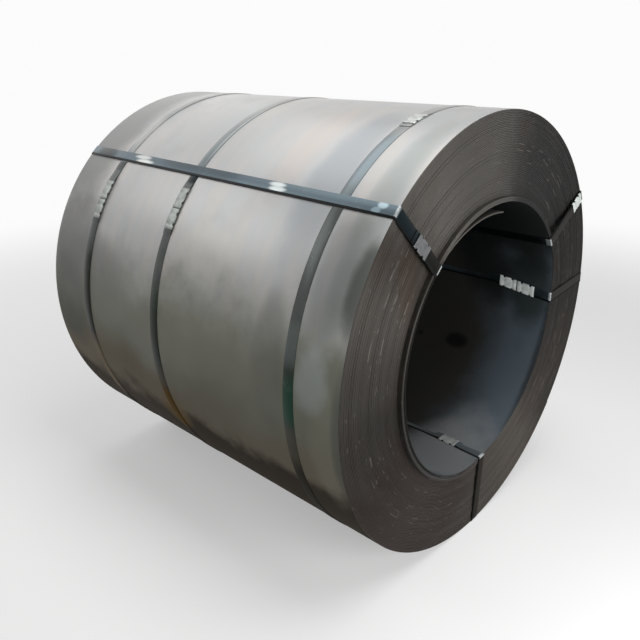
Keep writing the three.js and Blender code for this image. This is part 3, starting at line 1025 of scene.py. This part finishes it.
# Through the bore the straps are blue-grey, painted darker and browner as shade over the front end and in the
# bore, with painted highlights and glints along the top run.
EYE_FINISH = StrapFinish(
    name="blued_eye_strap",
    body=(0.082, 0.108, 0.124),
    stains_and_painted_light=(
        # Darker stretches along strap A.
        StainOrLightPatch(-522, 316.8, 60, 4, (0.016, 0.023, 0.020), 0.92),
        StainOrLightPatch(-60, 316.3, 190, 5, (0.053, 0.071, 0.082), 0.9),
        # Painted highlights: pairs of bright bars on strap A where it bends slightly over the girth straps.
        StainOrLightPatch(-326, 317.2, 46, 0.8, (0.46, 0.47, 0.46), 1.0),
        StainOrLightPatch(-308, 315.9, 46, 0.8, (0.46, 0.47, 0.46), 1.0),
        StainOrLightPatch(246, 316.0, 34, 0.8, (0.42, 0.45, 0.45), 1.0),
        StainOrLightPatch(252, 314.9, 34, 0.8, (0.42, 0.45, 0.45), 1.0),
        # Painted glints on strap A near the front corner.
        StainOrLightPatch(568, 315.6, 15, 1.0, (0.27, 0.34, 0.37), 0.85),
        StainOrLightPatch(556, 314.2, 14, 0.8, (0.22, 0.29, 0.33), 0.85),
        # Greyer along strap C in the bore.
        StainOrLightPatch(400, 177, 320, 8, (0.082, 0.088, 0.090), 0.95),
        # Painted shade on straps D and B in the bore.
        StainOrLightPatch(440, 86, 240, 9, (0.011, 0.017, 0.018), 0.9),
        StainOrLightPatch(440, 57, 240, 10, (0.003, 0.006, 0.006), 0.95),
    ),
    # Painted shade over the front end: strap A near black by the bore and blue-black nearer the rim, straps
    # B, D and C dark brown.
    end_runs=(
        EndRun(316.0, 8.0, 370.0, 470.0, (0.005, 0.005, 0.004), 0.25),
        EndRun(316.0, 8.0, 470.0, 600.0, (0.007, 0.013, 0.016)),
        EndRun(72.0, 50.0, 384.0, 602.0, (0.030, 0.027, 0.024), 0.40),
        EndRun(177.0, 30.0, 384.0, 602.0, (0.026, 0.022, 0.019), 0.10),
    ),
    # Painted shadow line along one edge of each eye strap.
    edge_shadow_width=6.5,
)


class Zinc(Enum):
    """How bright a seal's zinc is: its colour where it is clean, and how metallic it is; matched seal by seal
    to how bright each looks where it lies, so partly lit and shaded copies of one zinc, the whitish ones in
    the shaded bore and on the front end.
    """

    DULL = ((0.250, 0.265, 0.250), 0.75)
    WORN = ((0.165, 0.172, 0.176), 0.75)
    BRIGHT = ((0.640, 0.670, 0.650), 0.50)
    WHITISH = ((0.890, 0.950, 0.920), 0.05)


@dataclass(frozen=True)
class SealFinish(Finish):
    """Zinc-plated seal sheet with a faint green, duller where it was handled."""

    zinc: Zinc
    handled_tone: float = 0.65
    handled_clouds: Span = (0.40, 0.70)
    spangle_scale: float = 180.0
    spangle_share: float = 0.35
    rough: float = 0.26
    cloud_rough: float = 0.2
    cloud: Grain = Grain(60.0, 4.0)

    @property
    def name(self) -> str:
        """Name of the material."""
        return f"{self.zinc.name.lower()}_zinc_seal"

    def paint(self, sheet: CoilSheet) -> None:
        """Lay clouds and spangle of handled zinc over the clean zinc."""
        clean, metallic = self.zinc.value
        handled = tuple(self.handled_tone * part for part in clean)
        crystals = {"Vector": sheet.coordinates, "Scale": self.spangle_scale}
        spangle = sheet.node("TexVoronoi", crystals, "Distance")
        clouds = sheet.noise(sheet.coordinates, self.cloud)
        colour = sheet.mix(clouds.band(*self.handled_clouds), clean, handled)
        colour = sheet.mix(spangle * self.spangle_share, colour, handled)
        rough = clouds * self.cloud_rough + self.rough
        sheet.set(Base_Color=colour, Metallic=metallic, Roughness=rough)
        sheet.bump(clouds, 0.2, 0.1)


# ----------------------------------------
# The wound strip
# ----------------------------------------


@dataclass
class WoundStrip:
    """The strip wound into a coil, with every turn's edge on both ends."""

    finishes: dict[Region, bpy.types.Material]
    steps_round: int = 240
    spin_gap: float = 1.0
    seam_step: float = 0.002
    smooth_angle: float = 35.0
    skin_depth: float = 7.0
    edge_tilt: float = 0.35
    square_within: float = 0.02
    sliver_area: float = 1e-9

    def build(self) -> Piece:
        """Model the coil and return it."""
        strip = self.draw_section()
        self.spin_section(strip)
        self.wind(strip)
        self.close_outer_end(strip)
        self.draw_out_tail(strip)
        Bench.tidy(strip, self.smooth_angle)
        self.dress(strip)
        return strip

    @property
    def root(self) -> float:
        """Phase at which the strip's inner end leaves the wall."""
        return STRIP.phase(STRIP.inner_end_angle)

    def phases(self) -> list[float]:
        """Phase of each ring of the spin, with two rings at the strip's inner end."""
        before = round(self.root * self.steps_round) - 1
        after = self.steps_round - before - 1
        short_of_root = self.root - self.seam_step / 360.0
        start = [short_of_root * ring / before for ring in range(before + 1)]
        return start + [self.root + (1.0 - self.root) * ring / after for ring in range(after + 1)]

    def wound_section(self, phase: float) -> list[tuple[float, float, float]]:
        """Corners of the wall's section at a phase, once round from the bore's front edge.

        Args:
            phase: Share of a turn from the strip's outer end.

        Returns:
            Millimetres along the bore, radius and number of wound turns for each corner.
        """
        shifts = [STRIP.edge_shift(turn + phase) for turn in range(STRIP.turns)]
        radii = [STRIP.boundary_radius(turn, phase) for turn in range(STRIP.turns + 1)]
        slack = STRIP.slack(STRIP.outer_end_angle - 360.0 * phase)
        loose = phase < self.root
        first = 1 if loose else 0
        chains = []
        for side, lower in ((1.0, min), (-1.0, max)):
            rim = side * STRIP.half_width
            sunk = side * (STRIP.half_width - STRIP.groove)
            bore_edge = (sunk + shifts[first], radii[first] - slack, first + phase)
            chain = [bore_edge] * 4 if loose else [bore_edge]
            for turn in range(first, STRIP.turns):
                sag = slack if turn == 0 else 0.0
                chain.append((rim + shifts[turn], radii[turn] + STRIP.corner - sag, turn + phase))
                chain.append((rim + shifts[turn], radii[turn + 1] - STRIP.corner - sag, turn + phase))
                gap = side * STRIP.slack_depth * sag
                lowest = lower(shifts[turn:turn + 2])
                chain.append((sunk + lowest - gap, radii[turn + 1] - sag / 2, turn + phase))
            chains.append(chain)
        return chains[0] + chains[1][::-1]

    def draw_section(self) -> Piece:
        """Draw the section above the X axis by extruding one vertex from corner to corner."""
        points = [Vector((x * MM, 0, radius * MM)) for x, radius, _ in self.wound_section(1.0)]
        Bench.clear()
        bpy.ops.mesh.primitive_plane_add(size=MM, location=points[0])
        strip = Bench.settled("wound_strip")
        with Bench.editing(strip):
            bpy.ops.mesh.merge(type="CENTER")
        # Leaving edit mode once numbers the corners in the order in which they are drawn.
        with Bench.editing(strip):
            for one, other in zip(points, points[1:]):
                bpy.ops.mesh.extrude_region_move(TRANSFORM_OT_translate={"value": other - one})
        last = len(points) - 1
        ends = [i in (0, last) for i in range(last + 1)]
        with Bench.editing(strip, "VERT", lambda mesh: mesh.vertices.foreach_set("select", ends)):
            bpy.ops.mesh.edge_face_add()
        return strip

    def spin_section(self, strip: Piece) -> None:
        """Spin the section almost round, so that its two ends stay apart until it is wound."""
        Bench.apply(
            strip,
            "SCREW",
            axis="X",
            angle=math.tau - math.radians(self.spin_gap),
            steps=self.steps_round,
            render_steps=self.steps_round,
            use_merge_vertices=False,
        )

    def wind(self, strip: Piece) -> None:
        """Turn the rings into one spiral, and let each turn's edge wander."""
        places, wound_turns = [], []
        for phase in self.phases():
            angle = STRIP.outer_end_angle - 360.0 * phase
            for x, radius, wound in self.wound_section(phase):
                places.extend(PLACE.point(x, radius, angle))
                wound_turns.append(wound)
        mesh = strip.data
        mesh.vertices.foreach_set("co", places)
        mesh.attributes.new("wound", "FLOAT", "POINT").data.foreach_set("value", wound_turns)
        mesh.update()

    def close_outer_end(self, strip: Piece) -> None:
        """Merge the spiral where it meets itself and close the strip's outer end."""
        with Bench.editing(strip):
            bpy.ops.mesh.remove_doubles(threshold=MERGE_DISTANCE)
            bpy.ops.mesh.select_all(action="DESELECT")
            bpy.ops.mesh.select_mode(type="EDGE")
            bpy.ops.mesh.select_non_manifold(extend=False, use_wire=False, use_multi_face=False)
            bpy.ops.mesh.edge_face_add()

    def pick_end_face(self, mesh: bpy.types.Mesh) -> None:
        """Select the face across the strip at its inner end."""
        root = math.radians(STRIP.inner_end_angle)
        along = Vector((0, math.cos(root), -math.sin(root)))
        middle = PLACE.point(0, STRIP.bore_radius + STRIP.thickness / 2, STRIP.inner_end_angle)
        for face in mesh.polygons:
            near = (face.center - middle).yz.length < STRIP.thickness * MM
            square = abs(abs(face.normal.dot(along)) - 1) < self.square_within
            face.select = near and square and face.area > self.sliver_area

    def draw_out_tail(self, strip: Piece) -> None:
        """Draw the strip's inner end out of the step that it leaves in the bore."""
        reach = STRIP.tail_tip_angle - STRIP.inner_end_angle
        turn = math.radians(reach / STRIP.tail_spans)
        axis = (PLACE.middle, 0, PLACE.axis_height)
        dropped = 0.0
        with Bench.editing(strip, "FACE", self.pick_end_face):
            for span in range(1, STRIP.tail_spans + 1):
                share = span / STRIP.tail_spans
                drop = STRIP.tail_drop * share ** STRIP.tail_curve
                angle = STRIP.inner_end_angle + reach * share
                bpy.ops.mesh.extrude_region_move()
                bpy.ops.transform.rotate(value=turn, orient_axis="X", center_override=axis)
                inwards = PLACE.point(0, 0, angle) - PLACE.point(0, drop - dropped, angle)
                bpy.ops.transform.translate(value=inwards)
                dropped = drop

    def dress(self, strip: Piece) -> None:
        """Give the outside, the edges, the bore and the stepped turns their finishes."""
        for region in Region:
            strip.data.materials.append(self.finishes[region])
        for face in strip.data.polygons:
            face.material_index = self.region_of(face).value

    def region_of(self, face: bpy.types.MeshPolygon) -> Region:
        """Tell which surface of the coil a face belongs to."""
        if abs(face.normal.x) > self.edge_tilt:
            return Region.EDGE
        y, z = face.center.y, face.center.z - PLACE.axis_height
        radius = math.hypot(y, z) / MM
        if radius > STRIP.outer_radius - self.skin_depth:
            return Region.OUTSIDE
        faces_out = face.normal.y * y + face.normal.z * z > 0
        if radius < STRIP.bore_radius + self.skin_depth and not faces_out:
            return Region.BORE
        return Region.STEP


# ----------------------------------------
# Routes of the straps, in millimetres
# ----------------------------------------


GIRTH_PLACES = (-414.0, -63.0, 457.0)


@dataclass
class GirthRoute:
    """Once round the outside of the coil, at a place along the bore."""

    x: float
    radius: float = STRIP.outer_radius
    cut_angle: float = 1.5

    @property
    def length(self) -> float:
        """Length of one lap."""
        return 2 * math.pi * self.radius

    def distance_to(self, angle: float) -> float:
        """Distance along the lap of an angle round the bore."""
        return math.radians(-angle % 360.0) * self.radius

    def cuts(self, start: float, end: float) -> list[float]:
        """Places where the strap is cut across so that it can follow the curve."""
        span = math.radians(self.cut_angle) * self.radius
        return [count * span for count in range(math.ceil(start / span), math.floor(end / span) + 1)]

    def lay(self, distance: float, side: float, height: float) -> Vector:
        """Where a point of a flat strap comes to lie.

        Args:
            distance: Millimetres along the route.
            side: Millimetres from the strap's middle.
            height: Millimetres above the coil.

        Returns:
            The point in metres.
        """
        angle = -math.degrees(distance / self.radius)
        return PLACE.point(self.x + side, self.radius + height, angle)


@dataclass(frozen=True)
class Lean:
    """How a strap through the bore strays from its angle, in millimetres towards larger angles.

    The slope is for each millimetre along the bore, and the cant grows from nothing on the outside
    to its whole in the bore. The sway in the bore and the drift on the outside begin at the front.
    """

    slope: float = 0.0
    cant: float = 0.0
    sway: float = 0.0
    drift: float = 0.0
    sway_length: float = 200.0

    def at(self, x: float, depth: float, inward: float) -> float:
        """The lean at a place along the bore, a depth behind its front and a share of the wall inwards."""
        swayed = held(depth / self.sway_length)
        outside = self.drift * swayed
        inside = self.sway * swayed + self.cant
        return self.slope * x + outside + (inside - outside) * held(inward)


@dataclass
class EyeRoute:
    """Through the bore and back over the outside, pulled taut over everything that it meets."""

    angle: float
    lean: Lean
    girth_places: Sequence[float] = GIRTH_PLACES
    corners: list[Vector] = field(default_factory=list)
    starts: list[float] = field(default_factory=list)
    length: float = 0.0
    sharp_bend: float = 0.3
    sharp_spans: int = 4

    def __post_init__(self) -> None:
        """Pull the route taut and measure it."""
        self.corners = self.split(taut_outline(self.obstacles()), STRIP.proud_front - self.lean.sway_length)
        for i, corner in enumerate(self.corners):
            self.starts.append(self.length)
            self.length += self.bend(i) * STOCK.bend_radius
            self.length += (self.corner(i + 1) - corner).length

    def obstacles(self) -> list[Vector]:
        """Corners of the wall's section here, and of the girth straps that the route crosses."""
        phase = STRIP.phase(self.angle)
        points = []
        for turn in range(STRIP.turns):
            shift = STRIP.edge_shift(turn + phase)
            for boundary in (turn, turn + 1):
                radius = max(STRIP.bore_radius, STRIP.boundary_radius(boundary, phase))
                points += [Vector((shift + rim, radius)) for rim in (STRIP.half_width, -STRIP.half_width)]
        top = STRIP.outer_radius + STOCK.stack
        for place in self.girth_places:
            points += [Vector((place + side, top)) for side in (-STOCK.width / 2, STOCK.width / 2)]
        return points

    @staticmethod
    def split(outline: list[Vector], x: float) -> list[Vector]:
        """Add a corner wherever an outline crosses a place along the bore."""
        corners = []
        for one, other in zip(outline, outline[1:] + outline[:1]):
            corners.append(one)
            if (one.x - x) * (other.x - x) < 0:
                corners.append(one.lerp(other, (x - one.x) / (other.x - one.x)))
        return corners

    def corner(self, i: int) -> Vector:
        """A corner by its number, counted round and round."""
        return self.corners[i % len(self.corners)]

    def facing(self, i: int) -> float:
        """The way that the leg after a corner faces, in radians."""
        leg = self.corner(i + 1) - self.corner(i)
        return math.atan2(-leg.x, leg.y)

    def bend(self, i: int) -> float:
        """How far the strap bends at a corner, in radians."""
        return (self.facing(i) - self.facing(i - 1)) % math.tau

    def station(self, distance: float) -> tuple[Vector, Vector]:
        """The place on the section at a distance, and the way that the strap faces there."""
        wrapped = distance % self.length
        i = bisect_right(self.starts, wrapped + HAIR) - 1
        along = wrapped - self.starts[i]
        bend = self.bend(i)
        angle = self.facing(i) - bend + min(along / STOCK.bend_radius, bend)
        facing = Vector((math.cos(angle), math.sin(angle)))
        ahead = Vector((-facing.y, facing.x))
        return self.corner(i) + ahead * max(0.0, along - bend * STOCK.bend_radius), facing

    def distance_to(self, x: float, radius: float) -> float:
        """Whole millimetres along the lap that come nearest to a place on the wall's section."""
        wanted = Vector((x, radius))
        return float(min(range(int(self.length)), key=lambda at: (self.station(at)[0] - wanted).length))

    def cuts(self, start: float, end: float) -> list[float]:
        """Places where the strap is cut across so that it can bend."""
        cuts = []
        for lap in range(math.floor(start / self.length), math.ceil(end / self.length) + 1):
            for i, begin in enumerate(self.starts):
                spans = self.sharp_spans if self.bend(i) > self.sharp_bend else 1
                arc = self.bend(i) * STOCK.bend_radius
                cuts += [lap * self.length + begin + arc * n / spans for n in range(spans + 1)]
        return [cut for cut in cuts if start < cut < end]

    def lay(self, distance: float, side: float, height: float) -> Vector:
        """Where a point of a flat strap comes to lie, as on the girth."""
        place, facing = self.station(distance)
        place = place + facing * height
        inward = (STRIP.outer_radius - place.y) / (STRIP.outer_radius - STRIP.bore_radius)
        off = self.lean.at(place.x, STRIP.proud_front - place.x, inward)
        if place.y > STRIP.outer_radius:
            askew = self.angle + math.degrees(off / STRIP.outer_radius)
            return PLACE.point(place.x, place.y, askew, -side)
        return PLACE.point(place.x, place.y, self.angle, off - side)


def taut_outline(points: Iterable[Vector]) -> list[Vector]:
    """The taut line round a set of points, anticlockwise."""
    ordered = sorted(points, key=lambda point: (point.x, point.y))

    def half_round(run: Iterable[Vector]) -> list[Vector]:
        """One side of the outline."""
        chain: list[Vector] = []
        for point in run:
            while len(chain) > 1 and turn_of(chain[-2], chain[-1], point) <= STRAIGHT:
                chain.pop()
            chain.append(point)
        return chain[:-1]

    return half_round(ordered) + half_round(reversed(ordered))


def turn_of(origin: Vector, one: Vector, other: Vector) -> float:
    """Twice the area of three points, positive when they turn anticlockwise."""
    return (one.x - origin.x) * (other.y - origin.y) - (one.y - origin.y) * (other.x - origin.x)


Route = GirthRoute | EyeRoute


# ----------------------------------------
# Straps and seals
# ----------------------------------------


def runs_along(one: Vector, other: Vector) -> bool:
    """Whether two ends of an edge lie apart along X."""
    return abs(one.x - other.x) > MM


@dataclass
class SealPattern:
    """One seal, folded and crimped flat on the bench, that all the seals are copied from."""

    fold_round: float = 0.7
    edge_round: float = 0.18
    edge_angle: float = 50.0
    smooth_angle: float = 40.0
    punch_depth: float = 20.0
    punch_height: float = 3.0
    punch_sides: int = 24

    @property
    def half_width(self) -> float:
        """Metres from the middle to the inner face of a side."""
        return (STOCK.width / 2 + STOCK.clearance) * MM

    def build(self) -> Piece:
        """Model the seal round the middle of a flat strap, with X along the strap."""
        floor = (STOCK.clearance + STOCK.seal_sheet) * MM
        roof = (STOCK.clearance + STOCK.seat + 2 * STOCK.stack) * MM
        Bench.clear()
        bpy.ops.mesh.primitive_plane_add(size=1.0, location=(0, 0, roof))
        seal = Bench.settled("seal_pattern", (STOCK.seal_length * MM, 2 * self.half_width, 1))
        self.fold_down(seal, floor - roof)
        Bench.apply(seal, "SOLIDIFY", thickness=STOCK.seal_sheet * MM, offset=1.0, use_even_offset=True)
        self.crimp(seal)
        rounding = {"width": self.edge_round * MM, "angle_limit": math.radians(self.edge_angle)}
        Bench.apply(seal, "BEVEL", segments=2, limit_method="ANGLE", **rounding)
        Bench.tidy(seal, self.smooth_angle)
        return seal

    def fold_down(self, seal: Piece, drop: float) -> None:
        """Fold the sheet's sides down by a drop and its lips in under the straps."""
        edge = self.half_width - TOUCH
        for side in (-1.0, 1.0):
            rim = Bench.edges(lambda one, other: min(one.y * side, other.y * side) > edge)
            with Bench.editing(seal, "EDGE", rim):
                for bend in ((0, 0, drop), (0, -side * STOCK.seal_lip * MM, 0)):
                    bpy.ops.mesh.extrude_region_move(TRANSFORM_OT_translate={"value": bend})
        folds = Bench.edges(
            lambda one, other: runs_along(one, other) and min(abs(one.y), abs(other.y)) > edge
        )
        with Bench.editing(seal, "EDGE", folds):
            bpy.ops.mesh.bevel(offset=self.fold_round * MM, segments=3)
            bpy.ops.mesh.select_all(action="SELECT")
            bpy.ops.mesh.normals_make_consistent(inside=False)

    def crimp(self, seal: Piece) -> None:
        """Bite the crimps out of both sides of the seal."""
        side_face = self.half_width + STOCK.seal_sheet * MM
        for i in range(STOCK.crimps):
            x = STOCK.seal_length * ((i + 0.5) / STOCK.crimps - 0.5) * MM
            for side in (-1.0, 1.0):
                Bench.clear()
                bpy.ops.mesh.primitive_cylinder_add(
                    vertices=self.punch_sides,
                    radius=STOCK.crimp_radius * MM,
                    depth=self.punch_depth * MM,
                    location=(x, side * side_face, self.punch_height * MM),
                )
                punch = Bench.settled("crimp_punch")
                Bench.apply(seal, "BOOLEAN", operation="DIFFERENCE", solver="EXACT", object=punch)
                Bench.discard(punch)


@dataclass
class Strap:
    """A strap round its route, its ends lapped and joined by seals, with the side that takes a painted shadow
    line marked.
    """

    node: str
    route: Route
    seal_place: tuple[float, ...]
    seals: int
    finish: bpy.types.Material
    zinc: Zinc
    edge_shadow_side: float = 1.0
    smooth_angle: float = 30.0

    @cached_property
    def middle(self) -> float:
        """Distance along the route to the middle of the seals."""
        return self.route.distance_to(*self.seal_place)

    @property
    def half_group(self) -> float:
        """Half of the length of its seals set together."""
        return (STOCK.seal_length + (self.seals - 1) * STOCK.spacing) / 2

    @property
    def lifted(self) -> float:
        """Half of the length that the seals hold up."""
        return self.half_group + STOCK.clearance

    @property
    def overlap(self) -> float:
        """How far each end runs past the middle of the seals."""
        return self.half_group + STOCK.tail

    @property
    def climb(self) -> float:
        """Distance from the middle of the seals at which the upper end lies on the lower one."""
        return self.overlap + STOCK.clearance

    @property
    def again(self) -> float:
        """Distance to the middle of the seals after a lap."""
        return self.middle + self.route.length

    def build(self, pattern: Piece, seal_finish: bpy.types.Material) -> None:
        """Model the strap and its seals, copied from a flat pattern, and hand them over."""
        strap = self.cut_strap()
        # The across mark tells the finish which edge takes the painted shadow line.
        across = strap.data.attributes.new("across", "FLOAT", "POINT")
        for mark, vertex in zip(across.data, strap.data.vertices):
            mark.value = self.edge_shadow_side * vertex.co.y / MM
        self.lay_down(strap, 0.0, self.strap_height)
        Bench.tidy(strap, self.smooth_angle)
        strap.data.materials.append(self.finish)
        hand_over(strap, self.node)
        for i in range(self.seals):
            suffix = f"_{i + 1}" if self.seals > 1 else ""
            offset = (i - (self.seals - 1) / 2) * STOCK.spacing
            seal = Bench.copy(pattern, f"{self.node}_crimped_seal{suffix}")
            seal.data.materials.append(seal_finish)
            self.lay_down(seal, self.middle + offset, lambda distance, height: height)
            hand_over(seal, f"{self.node}_seal{suffix}")

    def cut_strap(self) -> Piece:
        """Cut a flat strap to length, round its edges and cut it across where it bends."""
        start, end = self.middle - self.overlap, self.again + self.overlap
        half = STOCK.width / 2 * MM
        low, high = (start * MM, -half, 0), (end * MM, half, STOCK.thickness * MM)
        Bench.clear()
        middle = [(one + other) / 2 for one, other in zip(low, high)]
        bpy.ops.mesh.primitive_cube_add(size=1.0, location=middle)
        strap = Bench.settled(f"{self.node}_band", [other - one for one, other in zip(low, high)])
        with Bench.editing(strap, "EDGE", Bench.edges(runs_along)):
            bpy.ops.mesh.bevel(offset=STOCK.edge_round * MM, segments=2)
        cuts = self.route.cuts(start, end) + self.ramp_cuts()
        with Bench.editing(strap, "EDGE"):
            for cut in sorted({round(cut, 4) for cut in cuts}):
                bpy.ops.mesh.select_all(action="SELECT")
                bpy.ops.mesh.bisect(plane_co=(cut * MM, 0, 0), plane_no=(1, 0, 0), threshold=CUT_THRESHOLD)
        return strap

    def ramp_cuts(self) -> list[float]:
        """Places where the strap starts or stops climbing."""
        near = [self.lifted, self.lifted + STOCK.ramp]
        far = [-self.climb - STOCK.ramp, -self.climb, -self.lifted - STOCK.ramp, -self.lifted]
        return [self.middle + place for place in near] + [self.again + place for place in far]

    def strap_height(self, distance: float, height: float) -> float:
        """Height above the route of a point of the strap."""
        on_top = distance > self.middle + self.route.length / 2
        place = distance - self.middle - (self.route.length if on_top else 0.0)
        seat = STOCK.seat * smooth_step((self.lifted + STOCK.ramp - abs(place)) / STOCK.ramp)
        stack = STOCK.stack * smooth_step((place + self.climb + STOCK.ramp) / STOCK.ramp) if on_top else 0.0
        return STOCK.clearance + seat + stack + height

    def lay_down(self, piece: Piece, shift: float, raised: Callable[[float, float], float]) -> None:
        """Lay a flat piece on the route.

        Args:
            piece: The piece, with X along the route.
            shift: Millimetres along the route to its middle.
            raised: Height above the route for a distance and the piece's own height.
        """
        for vertex in piece.data.vertices:
            distance = shift + vertex.co.x / MM
            height = raised(distance, vertex.co.z / MM)
            vertex.co = self.route.lay(distance, vertex.co.y / MM, height)


@dataclass
class Binding:
    """All the straps and seals that hold the coil."""

    girth_finish: bpy.types.Material
    eye_finish: bpy.types.Material
    seal_finishes: dict[Zinc, bpy.types.Material]

    def straps(self) -> list[Strap]:
        """Every strap on its route."""
        back, middle, front = (GirthRoute(x) for x in GIRTH_PLACES)
        corner, top, side, low = (
            EyeRoute(315.75, Lean(slope=-0.0218)),
            EyeRoute(57.3, Lean(cant=-17.0)),
            EyeRoute(86.0, Lean(sway=-27.0, drift=-27.0)),
            EyeRoute(177.1, Lean(cant=-16.0, sway=-12.0, drift=-45.0)),
        )
        girth, eye = self.girth_finish, self.eye_finish
        return [
            Strap("belly_strap_1", back, (302.5,), 2, girth, Zinc.DULL),
            Strap("belly_strap_2", middle, (304.8,), 2, girth, Zinc.DULL),
            Strap("belly_strap_3", front, (344.0,), 1, girth, Zinc.BRIGHT),
            Strap("eye_strap_1", corner, (609.5, 482.0), 1, eye, Zinc.WORN),
            Strap("eye_strap_2", top, (609.5, 566.0), 1, eye, Zinc.WHITISH),
            Strap("eye_strap_3", side, (500.1, 381.0), 2, eye, Zinc.WHITISH, edge_shadow_side=-1.0),
            Strap("eye_strap_4", low, (495.1, 381.0), 1, eye, Zinc.BRIGHT, edge_shadow_side=-1.0),
        ]

    def build(self) -> None:
        """Model every strap with its seals."""
        pattern = SealPattern().build()
        for strap in self.straps():
            strap.build(pattern, self.seal_finishes[strap.zinc])
        Bench.discard(pattern)


# ----------------------------------------
# Studio, in metres
# ----------------------------------------


@dataclass(frozen=True)
class Softbox:
    """A rectangular lamp that faces a point of the coil's middle plane."""

    name: str
    place: tuple[float, float, float]
    width: float
    depth: float
    power: float
    aim: tuple[float, float, float]

    def hang(self) -> None:
        """Add the lamp, out of the camera's sight."""
        lamp = bpy.data.lights.new(self.name, "AREA")
        lamp.shape = "RECTANGLE"
        lamp.size = self.width
        lamp.size_y = self.depth
        lamp.energy = self.power
        holder = stand(self.name, lamp, Vector(self.place))
        aim = Vector(self.aim) - Vector(self.place)
        holder.rotation_euler = aim.to_track_quat("-Z", "Y").to_euler()
        holder.visible_camera = False


def stand(name: str, kit: bpy.types.ID, place: Vector) -> Piece:
    """Put a lamp or a camera in the scene at a place."""
    holder = bpy.data.objects.new(name, kit)
    bpy.context.scene.collection.objects.link(holder)
    holder.location = place
    return holder


@dataclass
class Studio:
    """Floor, world, lamps and camera."""

    floor_albedo: float = 0.62
    floor_glow: float = 0.40
    backdrop: float = 0.97
    ambient: float = 0.03
    floor_half: float = 14.0
    fade_start: float = 1.6
    fade_end: float = 4.5
    lens: float = 37.578
    camera_from_middle: tuple[float, float, float] = (1.4134, -1.5289, 0.7223)
    camera_turn: tuple[float, float, float] = (68.446, 0.0, 42.878)
    softboxes: tuple[Softbox, ...] = (
        Softbox("front_overhead_softbox", (1.5, 0.1, 4.0), 2.0, 2.6, 69.0, (0.5, 0.0, 0.6)),
        Softbox("back_overhead_softbox", (-1.2, 0.1, 3.9), 2.4, 2.6, 32.0, (-0.2, 0.0, 0.6)),
        Softbox("back_softbox", (-3.2, 0.2, 2.3), 4.0, 1.5, 10.0, (0.0, 0.0, 0.6)),
        Softbox("corner_softbox", (-2.2, -2.2, 3.0), 2.4, 1.6, 22.0, (0.0, 0.0, 0.7)),
        Softbox("bore_softbox", (1.9, -0.38, 0.75), 0.9, 0.7, 16.0, (0.5, 0.25, 0.62)),
    )

    def build(self) -> None:
        """Set the scene round the coil."""
        self.add_floor()
        self.add_world()
        for softbox in self.softboxes:
            softbox.hang()
        self.add_camera()
        bpy.context.scene.view_settings.view_transform = "Standard"

    @staticmethod
    def seen_directly(sheet: Sheet) -> Signal:
        """Whether a ray comes from the camera, or through gloss or glass."""
        names = (f"Is {way} Ray" for way in ("Camera", "Glossy", "Transmission"))
        camera, gloss, glass = (sheet.node("LightPath", {}, name) for name in names)
        return sheet.math("MAXIMUM", sheet.math("MAXIMUM", camera, gloss), glass)

    def add_floor(self) -> None:
        """Lay a pale floor that keeps the coil's shadow and runs out into the backdrop's colour."""
        Bench.clear()
        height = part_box("belly_strap_1")[0].z
        bpy.ops.mesh.primitive_plane_add(size=2 * self.floor_half, location=(0, 0, height))
        floor = Bench.settled("studio_floor")
        material = bpy.data.materials.new("pale_floor")
        sheet = Sheet(material)
        distance = sheet.node("VectorMath", {0: sheet.coordinates}, "Value", operation="LENGTH")
        away = distance.band(self.fade_start, self.fade_end)
        seen = self.seen_directly(sheet)
        glow = away * (self.backdrop - self.floor_glow) + self.floor_glow
        sheet.set(
            Base_Color=sheet.mix(1.0 - seen * away, (0.0, 0.0, 0.0), (self.floor_albedo,) * 3),
            Roughness=1.0,
            Specular_IOR_Level=0.0,
            Emission_Color=(1.0, 1.0, 1.0),
            Emission_Strength=seen * glow,
        )
        floor.data.materials.append(material)

    def add_world(self) -> None:
        """Light the scene softly from all round, with a pale backdrop for the camera and for gloss."""
        world = bpy.data.worlds.new("studio_world")
        bpy.context.scene.world = world
        sheet = Sheet(world)
        glows = (self.ambient, self.backdrop)
        light, seen = (sheet.node("Background", {"Color": (glow,) * 3}) for glow in glows)
        blend = sheet.node("MixShader", {0: self.seen_directly(sheet), 1: light, 2: seen})
        sheet.feed(sheet.tree.nodes["World Output"].inputs["Surface"], blend)

    def add_camera(self) -> None:
        """Stand the camera in front of the coil, to its right."""
        camera = bpy.data.cameras.new("camera")
        camera.lens = self.lens
        middle = Vector((PLACE.middle, 0, PLACE.axis_height))
        holder = stand("camera", camera, middle + Vector(self.camera_from_middle))
        holder.rotation_euler = [math.radians(turn) for turn in self.camera_turn]
        bpy.context.scene.camera = holder


def main() -> None:
    """Build the coil, its binding and the studio."""
    logging.basicConfig(level=logging.INFO, format="%(name)s: %(message)s")
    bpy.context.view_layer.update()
    painters = {
        Region.OUTSIDE: OutsideFinish(),
        Region.EDGE: EdgeFinish(),
        Region.BORE: BoreFinish(),
        Region.STEP: StepFinish(),
    }
    strip = WoundStrip({region: painter.make() for region, painter in painters.items()}).build()
    hand_over(strip, "coil")
    seal_finishes = {zinc: SealFinish(zinc).make() for zinc in Zinc}
    Binding(GIRTH_FINISH.make(), EYE_FINISH.make(), seal_finishes).build()
    Studio().build()
    Bench.clear()


if __name__ == "__main__":
    main()
